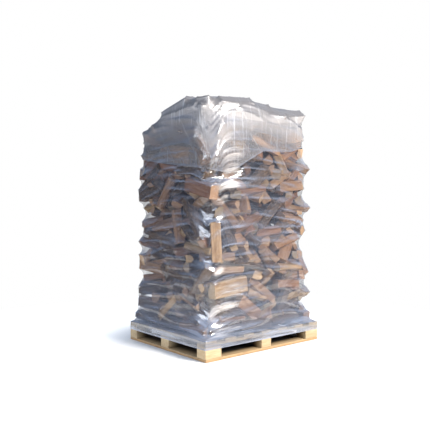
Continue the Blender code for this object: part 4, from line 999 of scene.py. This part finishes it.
def add_piece(name, points, faces, materials, face_slots=None, sharp=None):
    """A mesh object at the origin from points, faces (arrays of quads or triangles) and material slots."""
    mesh = bpy.data.meshes.new(name)
    mesh.from_pydata(points.reshape(-1, 3).tolist(), [], faces)
    for material in materials:
        mesh.materials.append(material)
    if face_slots is not None:
        mesh.polygons.foreach_set("material_index", np.asarray(face_slots, np.int32))
    mesh.shade_smooth()
    if sharp is not None:
        mesh.set_sharp_from_angle(angle=math.radians(sharp))
    piece = bpy.data.objects.new(name, mesh)
    bpy.context.scene.collection.objects.link(piece)
    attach(piece, BODY)
    return piece


def store(piece, name, kind, values):
    """Writes one value per point into a named attribute."""
    attribute = piece.data.attributes.new(name, kind, "POINT")
    field = {"FLOAT": "value", "FLOAT_VECTOR": "vector", "FLOAT_COLOR": "color"}[kind]
    attribute.data.foreach_set(field, np.ascontiguousarray(values, np.float32).ravel())


def ring_quads(rows, columns):
    """Quads between the rows of a grid whose columns close in a ring."""
    row, column = np.meshgrid(np.arange(rows - 1), np.arange(columns), indexing="ij")
    here = (row * columns + column).ravel()
    beside = (row * columns + (column + 1) % columns).ravel()
    return np.stack([here, beside, beside + columns, here + columns], 1)


EDGE_PLACES = (0.07, 0.35, 0.65, 0.93)
CAP_RINGS = (0.88, 0.45)


def prism_points(logs, rough, seed, steps, bow, cut_tilt=LOG_CUT_TILT):
    """Points of every prism at once. Round the outline each edge gives the points at EDGE_PLACES, so corners
    are cut off a little. Ring j lies at share t of the length. Roughness is a product of a ridge profile
    round the outline and a slow sine along it; the middle bows; the saw cut leans. Each end closes with
    two inner rings and a middle point. Also returns every point's own coordinates."""
    rng = np.random.default_rng(seed)
    outline = logs["outline"]
    count = len(outline)
    following = np.roll(outline, -1, axis=1)
    places = np.array(EDGE_PLACES)
    ring = (outline[:, :, None] + (following - outline)[:, :, None] * places[None, None, :, None])
    ring = ring.reshape(count, -1, 2)
    around = ring.shape[1]
    outward = unit(ring - ring.mean(axis=1, keepdims=True))
    depth = np.repeat(rough, len(places), axis=1)
    share = np.linspace(0, 1, steps)
    ridges = rng.normal(size=(count, around)) * 0.55
    phase = rng.uniform(0, 2 * np.pi, (count, around, 2))
    waves = (0.6 * np.sin(2 * np.pi * 1.3 * share[None, None] + phase[..., :1]) +
             0.4 * np.sin(2 * np.pi * 3.1 * share[None, None] + phase[..., 1:]))
    swell = np.clip(ridges[..., None] + waves * 0.7 - 0.4, -1.6, 0.9) * depth[..., None]
    bend = rng.uniform(-bow, bow, (count, 2))
    lift = 4 * share * (1 - share)
    flat = (ring[:, None] + outward[:, None] * swell.transpose(0, 2, 1)[..., None] +
            bend[:, None, None] * lift[None, :, None, None])
    tilt = rng.uniform(-cut_tilt, cut_tilt, (count, 2, 2))
    ends = np.stack([share <= 0, share >= 1], axis=0).astype(float)
    lean = np.einsum("nek,nrck,er->nrc", tilt, flat, ends)
    height = logs["half"][:, None, None] * (2 * share[None, :, None] - 1) + lean
    local = [np.concatenate([flat, height[..., None]], axis=-1)]
    for end, sign in ((0, -1.0), (steps - 1, 1.0)):
        rim = flat[:, end]
        middle = rim.mean(axis=1, keepdims=True)
        for part in CAP_RINGS + (0.0,):
            inner = middle + (rim - middle) * part
            inner = inner[:, :1] if part == 0.0 else inner
            slope = np.einsum("nk,nck->nc", tilt[:, 0 if end == 0 else 1], inner)
            level = sign * logs["half"][:, None] + slope
            local.append(np.concatenate([inner, level[..., None]], axis=-1)[:, None])
    local = np.concatenate([part.reshape(count, -1, 3) for part in local], axis=1)
    world = (logs["centre"][:, None] + local[..., :1] * logs["across"][:, None] +
             local[..., 1:2] * logs["outward"][:, None] + local[..., 2:] * logs["along"][:, None])
    return world, local, around, steps


def prism_faces(around, steps):
    """Faces of one prism, with 0 for its sides and 1 for its ends."""
    quads = [ring_quads(steps, around)]
    column = np.arange(around)
    following = (column + 1) % around
    triangles = []
    base = steps * around
    for end, flip in ((0, True), (steps - 1, False)):
        outer = end * around
        for _ in CAP_RINGS:
            band = np.stack([outer + column, outer + following, base + following, base + column], 1)
            quads.append(band[:, ::-1] if flip else band)
            outer = base
            base += around
        fan = np.stack([outer + column, outer + following, np.full(around, base)], 1)
        triangles.append(fan[:, ::-1] if flip else fan)
        base += 1
    sides = len(quads[0])
    quads = np.concatenate(quads)
    triangles = np.concatenate(triangles)
    slots = np.concatenate([np.zeros(sides), np.ones(len(quads) - sides + len(triangles))])
    return quads, triangles, slots.astype(int)


def prism_piece(name, logs, rough, tones, barks, seed, materials, **shape):
    """One mesh of any number of prisms, each with its grain, tone, bark and heart attributes."""
    points, local, around, steps = prism_points(logs, rough, seed, **shape)
    count, per_log = points.shape[:2]
    quads, triangles, slots = prism_faces(around, steps)
    offsets = (np.arange(count) * per_log)[:, None, None]
    faces = (quads[None] + offsets).reshape(-1, 4).tolist()
    faces += (triangles[None] + offsets).reshape(-1, 3).tolist()
    quad_slots = np.tile(slots[:len(quads)], count)
    triangle_slots = np.tile(slots[len(quads):], count)
    piece = add_piece(name, points, faces, materials, np.concatenate([quad_slots, triangle_slots]),
                      SHARP_ANGLE)
    rng = np.random.default_rng(seed + 1)
    shift = rng.uniform(-GRAIN_SHIFT, GRAIN_SHIFT, (count, 1, 3))
    store(piece, "grain", "FLOAT_VECTOR", local + shift)
    heart = rng.normal(size=(count, 1, 2)) * HEART_SPREAD + HEART_PLACE
    size = np.abs(logs["outline"]).max(axis=1)[:, None] * 2
    middle = np.concatenate([heart * size, np.zeros((count, 1, 1))], axis=-1)
    store(piece, "heart", "FLOAT_VECTOR", (local - middle) * (1, 1, 0))
    color = np.concatenate([tones, np.ones((count, 1))], axis=1)
    store(piece, "tone", "FLOAT_COLOR", np.repeat(color, per_log, axis=0))
    places = len(EDGE_PLACES)
    side_bark = np.repeat(barks, places, axis=1)
    rim_bark = np.tile(side_bark, (1, steps + 2 * len(CAP_RINGS)))
    whole = np.concatenate([rim_bark, np.zeros((count, 2))], axis=1)
    rim_count = rim_bark.shape[1]
    first_end = (steps + len(CAP_RINGS)) * around
    order = np.concatenate([np.arange(first_end), [rim_count], np.arange(first_end, rim_count),
                            [rim_count + 1]])
    store(piece, "bark", "FLOAT", whole[:, order])
    return piece


def log_finish(indices, seed):
    """Roughness, tone and bark of the chosen logs, from their sections and woods."""
    sizes = bpy.context.scene.firewood_sizes
    rng = np.random.default_rng(seed)
    everything = heap()
    barks = np.array([BARK_EDGES[everything["sections"][index]] for index in indices], float)
    woods = [everything["woods"][index] for index in indices]
    kept = np.array([wood in BARKED_WOODS for wood in woods])
    kept |= (rng.random(len(woods)) < LOOSE_BARK_CHANCE) & (np.asarray(indices) >= len(PLACED_LOGS))
    share = np.array([BARK_SHARE[wood] for wood in woods])
    barks = np.maximum(barks * kept[:, None], share[:, None])
    tones = np.array([WOOD_COLORS[everything["woods"][index]] for index in indices])
    tones = tones * rng.uniform(*TONE_RANGE, (len(indices), 1)) * rng.uniform(*TINT_RANGE, (len(indices), 3))
    rough = sizes.split_depth + (sizes.bark_depth - sizes.split_depth) * barks
    return rough, np.clip(tones, 0, 0.95), barks


def log_materials():
    """The finishes of a log's sides and ends, made once."""
    return [bpy.data.materials.get("split_wood") or split_wood(),
            bpy.data.materials.get("end_grain") or end_grain()]


def chosen(logs, indices):
    return {key: values[indices] for key, values in logs.items()}


# Film

def tightened(origins, directions, obstacle, fixed_rows, rounds, start):
    """Each free point moves to the mean of its level and upright chords, and never inside the obstacle, so
    ridges spread out from every tip, farther round the load than up it."""
    film = np.maximum(start, obstacle)
    for _ in range(rounds):
        points = origins + directions * film[..., None]
        around = (np.roll(points, 1, axis=1) + np.roll(points, -1, axis=1)) / 2
        upright = points.copy()
        upright[1:-1] = (points[:-2] + points[2:]) / 2
        middle = LEVEL_PULL * around + (1 - LEVEL_PULL) * upright
        film = np.maximum(obstacle, ((middle - origins) * directions).sum(-1))
        film[:fixed_rows] = obstacle[:fixed_rows]
        film[-1] = film[-1].max()
    return film


def halved_steps(film):
    """The film with a row and a column of means put between each pair."""
    wide = np.stack([film, (film + np.roll(film, -1, axis=1)) / 2], axis=2).reshape(len(film), -1)
    fine = np.empty((2 * len(wide) - 1, wide.shape[1]))
    fine[::2] = wide
    fine[1::2] = (wide[:-1] + wide[1:]) / 2
    return fine


def wound_over(origins, directions, obstacle, fixed_rows, rounds):
    """The taut film, found on a coarse grid first and then on finer ones."""
    film = obstacle[::COARSE_STRIDES[0], ::COARSE_STRIDES[0]]
    for stride in COARSE_STRIDES:
        grid = (slice(None, None, stride), slice(None, None, stride))
        film = tightened(origins[grid], directions[grid], obstacle[grid], (fixed_rows - 1) // stride + 1,
                         rounds, film)
        if stride > 1:
            film = halved_steps(film)
    return film


def near_rays(reach, cells, pick):
    """The pick (largest, smallest or mean) of the square of rays round each ray."""
    reach = np.pad(np.pad(reach, ((cells, cells), (0, 0)), "edge"), ((0, 0), (cells, cells)), "wrap")
    width = 2 * cells + 1
    return pick(np.lib.stride_tricks.sliding_window_view(reach, (width, width)), axis=(-2, -1))


def stiffened(film, obstacle):
    """The film made stiff over the top, where it is two sheets thick: hollows narrower than twice
    STIFF_CELLS are filled level and the steps are evened out."""
    level = near_rays(near_rays(film, STIFF_CELLS, np.max), STIFF_CELLS, np.min)
    level = near_rays(near_rays(level, STIFF_CELLS, np.mean), STIFF_CELLS, np.mean)
    row = np.arange(len(film)) / ROW_SUBSTEPS
    share = np.clip((row - STIFF_ROWS[0]) / (STIFF_ROWS[1] - STIFF_ROWS[0]), 0, 1)[:, None]
    return np.maximum(film + share * (level - film), obstacle)


def drawn_folds(metres, height):
    """Ridges drawn out round the load: 1 - |f|, where f is the sum of sin(2 pi (n u / girth + m z) + p) over
    FOLD_WAVES waves, scaled to unit spread. n is a whole number of turns, so that the ridges close."""
    rng = np.random.default_rng(FOLD_SEED)
    field = np.zeros_like(metres)
    for _ in range(FOLD_WAVES):
        turns = rng.integers(-FOLD_TURNS, FOLD_TURNS + 1)
        rise = rng.uniform(*FOLD_RISES)
        cycles = turns * metres / PALLET_GIRTH + rise * height
        field += np.sin(2 * np.pi * cycles + rng.uniform(0, 2 * np.pi))
    return 1 - np.minimum(np.abs(field) * math.sqrt(2 / FOLD_WAVES), 1)


def crumpled_with_glare(metres, height):
    """How crumpled and hazy the film is, with the glare painted on it: the patch of most weight in strength
    exp(-(r ** 4)), r in reaches.
    """
    milk = np.zeros_like(metres)
    for place, level, wide, tall, strength in GLARE_PATCHES:
        round_way = (metres - place + PALLET_GIRTH / 2) % PALLET_GIRTH - PALLET_GIRTH / 2
        patch = strength * np.exp(-((round_way / wide) ** 2 + ((height - level) / tall) ** 2) ** 2)
        milk = np.where(np.abs(patch) > np.abs(milk), patch, milk)
    return milk


FILM = {}


def film_form():
    """The film over every log on the fine rays: its reach, how nearly it touches them, how far round and up
    the film each point lies, how steeply it faces up, and how crumpled it is, with its painted glare."""
    if not FILM:
        sizes = bpy.context.scene.firewood_sizes
        origins, directions, edge = ray_grid()
        logs = heap()["logs"]
        wood = raised_at_tips(ray_reach(origins, directions, logs), origins, directions,
                              log_corners(logs).reshape(-1, 3))
        obstacle = wood + sizes.film_clearance
        fixed = ROW_SUBSTEPS + 1
        obstacle[:fixed] = edge[:fixed] + EDGE_CLEARANCE
        film = wound_over(origins, directions, obstacle, fixed, sizes.film_rounds)
        film = tightened(origins, directions, obstacle, fixed, STIFF_ROUNDS, stiffened(film, obstacle))
        contact = np.exp(-(film - obstacle) / CONTACT_FADE)
        contact[:fixed] = 0.0
        points = origins + directions * film[..., None]
        climb = np.linalg.norm(np.diff(points, axis=0, prepend=points[:1]), axis=-1)
        height = points[0, :, 2] + np.cumsum(climb, axis=0)
        around = side_share(edge_points(COLUMN_SUBSTEPS)) * PALLET_GIRTH / 4
        metres = np.broadcast_to(around, film.shape)
        free = (1 - contact) * np.clip((height - PALLET_HEIGHT) / FOLD_START, 0, 1)
        pole = POLE_FADE_ROWS * ROW_SUBSTEPS
        free[-pole:] *= np.linspace(1, 0, pole)[:, None]
        film = film + sizes.fold_height * drawn_folds(metres, height) * free
        points = origins + directions * film[..., None]
        along = np.roll(points, -1, axis=1) - np.roll(points, 1, axis=1)
        facing = unit(np.cross(along, np.gradient(points, axis=0)) + (0.0, 0.0, TINY))
        FILM.update(origins=origins, directions=directions, reach=film, contact=contact, metres=metres,
                    height=height, tilt=facing[..., 2], milk=crumpled_with_glare(metres, height))
    return FILM


def film_piece(name, rows, inset, material, cap):
    """The rows of the film's grid as one sheet, drawn in by the inset and closed on top if it is a cap."""
    form = film_form()
    reach = form["reach"][rows] - inset
    points = form["origins"][rows] + form["directions"][rows] * reach[..., None]
    count, columns = reach.shape
    metres, height = form["metres"][rows], form["height"][rows]
    if cap:
        points[-1] = points[-1].mean(axis=0)
    grid_rows = count - 1 if cap else count
    faces = ring_quads(grid_rows, columns).tolist()
    flat_points = points[:grid_rows].reshape(-1, 3)
    values = [np.stack([metres, height, np.zeros_like(height)], -1)[:grid_rows].reshape(-1, 3),
              *(form[key][rows][:grid_rows].ravel() for key in ("contact", "tilt", "milk"))]
    if cap:
        tip = len(flat_points)
        last = (grid_rows - 1) * columns
        ring = np.arange(columns)
        faces += np.stack([last + ring, last + (ring + 1) % columns, np.full(columns, tip)], 1).tolist()
        flat_points = np.concatenate([flat_points, points[-1, :1]])
        values = [np.concatenate([value, value[-1:]]) for value in values]
    piece = add_piece(name, flat_points, faces, [material])
    store(piece, "film", "FLOAT_VECTOR", values[0])
    for key, value in zip(("contact", "tilt", "milk"), values[1:]):
        store(piece, key, "FLOAT", value)
    first = values[0][:columns, 1]
    rise = values[0][:, 1] - np.resize(first, len(values[0]))
    store(piece, "hem", "FLOAT", np.clip(1 - rise / HEM_STRIPE, 0, 1))
    return piece


# Operators

class FIREWOOD_OT_pallet(bpy.types.Operator):
    """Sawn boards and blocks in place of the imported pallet's plain ones"""
    bl_idname = "firewood.pallet"
    bl_label = "Pallet"

    def execute(self, context):
        names = sorted(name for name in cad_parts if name.startswith(PALLET_NODES))
        wood = pallet_wood()
        rng = np.random.default_rng(SAWN_TONE_SEED)
        for number, name in enumerate(names):
            low, high = (np.array(corner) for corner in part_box(name))
            size = high - low
            order = np.argsort(-size[:2]).tolist() + [2]
            axes = np.eye(3)[order]
            half_width, half_depth = size[order[1]] / 2, size[2] / 2
            cut = SAWN_CHAMFER
            outline = np.array([(-half_width, -half_depth + cut), (-half_width + cut, -half_depth),
                                (half_width - cut, -half_depth), (half_width, -half_depth + cut),
                                (half_width, half_depth - cut), (half_width - cut, half_depth),
                                (-half_width + cut, half_depth), (-half_width, half_depth - cut)])
            board = {"centre": (low + high)[None] / 2, "along": axes[:1], "across": axes[1:2],
                     "outward": np.cross(axes[:1], axes[1:2]), "half": size[order[0]][None] / 2,
                     "outline": outline[None]}
            tone = np.array(context.scene.firewood_colors.pallet) * rng.uniform(*SAWN_TONE_RANGE)
            bare = np.zeros((1, len(outline)))
            piece = prism_piece(f"{name}_wood", board, bare + SAWN_ROUGH, tone[None], bare,
                                SAWN_SEED + number, [wood, wood], steps=SAWN_STEPS, bow=0.0,
                                cut_tilt=SAWN_TILT)
            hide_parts(name)
        return {"FINISHED"}


class FIREWOOD_OT_placed_logs(bpy.types.Operator):
    """The split logs that show by themselves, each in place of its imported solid"""
    bl_idname = "firewood.placed_logs"
    bl_label = "Placed logs"

    def execute(self, context):
        materials = log_materials()
        for index, row in enumerate(PLACED_LOGS):
            rough, tones, barks = log_finish([index], PLACED_TONE_SEED + index)
            name = f"log_{index + 1:02d}"
            piece = prism_piece(f"split_{name}", chosen(heap()["logs"], [index]), rough, tones, barks,
                                PLACED_SEED + index, materials, steps=PLACED_STEPS, bow=LOG_BOW)
            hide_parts(name)
        return {"FINISHED"}


class FIREWOOD_OT_loose_logs(bpy.types.Operator):
    """All the other logs of the heap, in four layers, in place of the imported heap's solid"""
    bl_idname = "firewood.loose_logs"
    bl_label = "Loose logs"

    def execute(self, context):
        materials = log_materials()
        logs = heap()["logs"]
        height = logs["centre"][:, 2]
        indices = np.arange(len(PLACED_LOGS), len(height))
        for number, (name, low, high) in enumerate(LAYERS):
            layer = indices[(height[indices] >= low) & (height[indices] < high)]
            rough, tones, barks = log_finish(layer, LOOSE_TONE_SEED + number)
            piece = prism_piece(f"loose_logs_{name}", chosen(logs, layer), rough, tones, barks,
                                LOOSE_SEED + number, materials, steps=LOOSE_STEPS, bow=LOG_BOW)
            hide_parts("log_pile")
        return {"FINISHED"}


class FIREWOOD_OT_top_sheet(bpy.types.Operator):
    """The clear cover sheet over the top of the load, under the wound film"""
    bl_idname = "firewood.top_sheet"
    bl_label = "Top sheet"

    def execute(self, context):
        color = tuple(context.scene.firewood_colors.sheet)
        material = clear_film("sheet_film", color, 0.56, 0.06, 0.18, True)
        rows = slice(HEM_ROW * ROW_SUBSTEPS, None)
        piece = film_piece("cover_sheet", rows, context.scene.firewood_sizes.sheet_gap, material, True)
        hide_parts("top_sheet")
        return {"FINISHED"}


class FIREWOOD_OT_stretch_wrap(bpy.types.Operator):
    """The stretched film wound round the load, from the pallet's edge to the shoulder"""
    bl_idname = "firewood.stretch_wrap"
    bl_label = "Stretch wrap"

    def execute(self, context):
        color = tuple(context.scene.firewood_colors.film)
        material = clear_film("stretch_film", color, 0.38, 0.15, 0.24, False)
        rows = slice(0, (1 + SIDE_ROW_COUNT + WRAP_DOME_ROWS) * ROW_SUBSTEPS + 1)
        piece = film_piece("wound_film", rows, 0.0, material, False)
        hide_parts("stretch_wrap")
        return {"FINISHED"}


# Stage: the camera in metres and in the picture's pixels, the floor with its painted shadow and painted glow,
# the sky and the lamps, each lamp with its name, place, aim, size, power and colour
CAMERA_PLACE = (-3.069, -3.556, 1.045)
CAMERA_AIM = (0.641, 0.767, 0.0)
FOCAL_PIXELS = 561.0
PICTURE_PIXELS = 430.0
HORIZON_PIXEL = 214.0
FLOOR_HEIGHT = -0.002
FLOOR_REACH = 2.6
# Painted glow of the floor: where it starts and where it is full white, in metres from the middle
FLOOR_CLEAR = 0.66
FLOOR_WHITE = 1.35
# Painted shadow on the floor under the pallet: the share of the floor colour left there and the width of its
# fade
PAINTED_SHADOW_SHARE = 0.12
PAINTED_SHADOW_EDGE = 0.10
SKY_STRENGTH = 0.65
LAMPS = (
    ("key", (1.1, -5.8, 3.9), (0.0, -0.1, 1.0), 1.9, 950.0, (1.0, 0.94, 0.86)),
    ("fill", (-5.5, -1.5, 2.6), (0.0, 0.0, 1.0), 3.0, 160.0, (0.88, 0.93, 1.0)),
)
SKY_STOPS = ((0.0, (0.10, 0.10, 0.11)), (0.55, (0.62, 0.76, 1.0)))


class FIREWOOD_OT_stage(bpy.types.Operator):
    """Pale floor with a painted shadow under the pallet and a painted glow farther out, soft studio light and
    the camera
    """
    bl_idname = "firewood.stage"
    bl_label = "Stage"

    def execute(self, context):
        scene = context.scene
        edge = FLOOR_REACH
        mesh = bpy.data.meshes.new("floor")
        corners = ((-edge, -edge), (edge, -edge), (edge, edge), (-edge, edge))
        mesh.from_pydata([(*corner, FLOOR_HEIGHT) for corner in corners], [], [(0, 1, 2, 3)])
        finish = Finish("floor", 0.9, Specular_IOR_Level=0.0, Emission_Strength=1.0)
        # Painted light: the floor glows, not at all near the pallet and up to full white farther out, which
        # washes out the shadow there
        away = finish.make("ShaderNodeVectorMath", {"operation": "LENGTH"}, (finish.place(),), output=1)
        painted_glow = away.smooth(FLOOR_CLEAR, FLOOR_WHITE)
        # Painted shadow: the floor's own colour is darkened under the pallet, fading out just inside its edge
        across, back = finish.from_middle()
        past_end, past_side = across - PALLET_LENGTH / 2, back - PALLET_WIDTH / 2
        painted_shadow = past_end.math("MAXIMUM", past_end, past_side).smooth(-PAINTED_SHADOW_EDGE, 0.0)
        pale = scene.firewood_colors.floor
        mesh.materials.append(finish.feed(
            Emission_Color=finish.mix(painted_glow, (0.0, 0.0, 0.0), (1.0, 1.0, 1.0)),
            Base_Color=finish.mix(painted_shadow, tuple(value * PAINTED_SHADOW_SHARE for value in pale), tuple(pale))))
        floor = bpy.data.objects.new("floor", mesh)
        scene.collection.objects.link(floor)

        for lamp in LAMPS:
            self.add_area(scene, *lamp)

        world = bpy.data.worlds.new("studio")
        world.use_nodes = True
        nodes = world.node_tree.nodes
        links = world.node_tree.links
        light = nodes["Background"]
        light.inputs["Strength"].default_value = SKY_STRENGTH
        way = nodes.new("ShaderNodeTexCoord")
        upward = nodes.new("ShaderNodeSeparateXYZ")
        sky = nodes.new("ShaderNodeValToRGB")
        for element, (place, color) in zip(sky.color_ramp.elements, SKY_STOPS):
            element.position = place
            element.color = (*color, 1.0)
        links.new(way.outputs["Generated"], upward.inputs[0])
        links.new(upward.outputs[2], sky.inputs[0])
        links.new(sky.outputs[0], light.inputs["Color"])
        backdrop = nodes.new("ShaderNodeBackground")
        backdrop.inputs["Color"].default_value = (1.0, 1.0, 1.0, 1.0)
        chooser = nodes.new("ShaderNodeMixShader")
        seen = nodes.new("ShaderNodeLightPath")
        links.new(seen.outputs["Is Camera Ray"], chooser.inputs[0])
        links.new(light.outputs[0], chooser.inputs[1])
        links.new(backdrop.outputs[0], chooser.inputs[2])
        links.new(chooser.outputs[0], nodes["World Output"].inputs["Surface"])
        scene.world = world
        scene.view_settings.view_transform = "Standard"

        camera = bpy.data.objects.new("camera", bpy.data.cameras.new("camera"))
        camera.location = CAMERA_PLACE
        camera.rotation_mode = "QUATERNION"
        camera.rotation_quaternion = Vector(CAMERA_AIM).to_track_quat("-Z", "Y")
        camera.data.lens = camera.data.sensor_width * FOCAL_PIXELS / PICTURE_PIXELS
        camera.data.shift_y = (HORIZON_PIXEL - PICTURE_PIXELS / 2) / PICTURE_PIXELS
        scene.collection.objects.link(camera)
        scene.camera = camera
        return {"FINISHED"}

    @staticmethod
    def add_area(scene, name, place, aim, size, power, color):
        light = bpy.data.lights.new(name, "AREA")
        light.size = size
        light.energy = power
        light.color = color
        lamp = bpy.data.objects.new(name, light)
        lamp.location = place
        lamp.rotation_mode = "QUATERNION"
        lamp.rotation_quaternion = (Vector(aim) - Vector(place)).to_track_quat("-Z", "Y")
        scene.collection.objects.link(lamp)


class FIREWOOD_PT_panel(bpy.types.Panel):
    """Builds the load piece by piece"""
    bl_idname = "FIREWOOD_PT_panel"
    bl_label = "Firewood pallet"
    bl_space_type = "VIEW_3D"
    bl_region_type = "UI"
    bl_category = "Firewood"

    def draw(self, context):
        layout = self.layout
        for group in (context.scene.firewood_sizes, context.scene.firewood_colors):
            box = layout.box()
            for name in group.__annotations__:
                box.prop(group, name)
        for operator in OPERATORS:
            layout.operator(operator.bl_idname)


OPERATORS = (FIREWOOD_OT_stage, FIREWOOD_OT_pallet, FIREWOOD_OT_placed_logs, FIREWOOD_OT_loose_logs,
             FIREWOOD_OT_top_sheet, FIREWOOD_OT_stretch_wrap)
CLASSES = (FirewoodSizes, FirewoodColors) + OPERATORS + (FIREWOOD_PT_panel,)


def register():
    for item in CLASSES:
        bpy.utils.register_class(item)
    bpy.types.Scene.firewood_sizes = PointerProperty(type=FirewoodSizes)
    bpy.types.Scene.firewood_colors = PointerProperty(type=FirewoodColors)


def unregister():
    del bpy.types.Scene.firewood_colors
    del bpy.types.Scene.firewood_sizes
    for item in reversed(CLASSES):
        bpy.utils.unregister_class(item)


def main():
    register()
    bpy.ops.firewood.stage()
    bpy.ops.firewood.pallet()
    bpy.ops.firewood.placed_logs()
    bpy.ops.firewood.loose_logs()
    bpy.ops.firewood.top_sheet()
    bpy.ops.firewood.stretch_wrap()


if __name__ == "__main__":
    main()
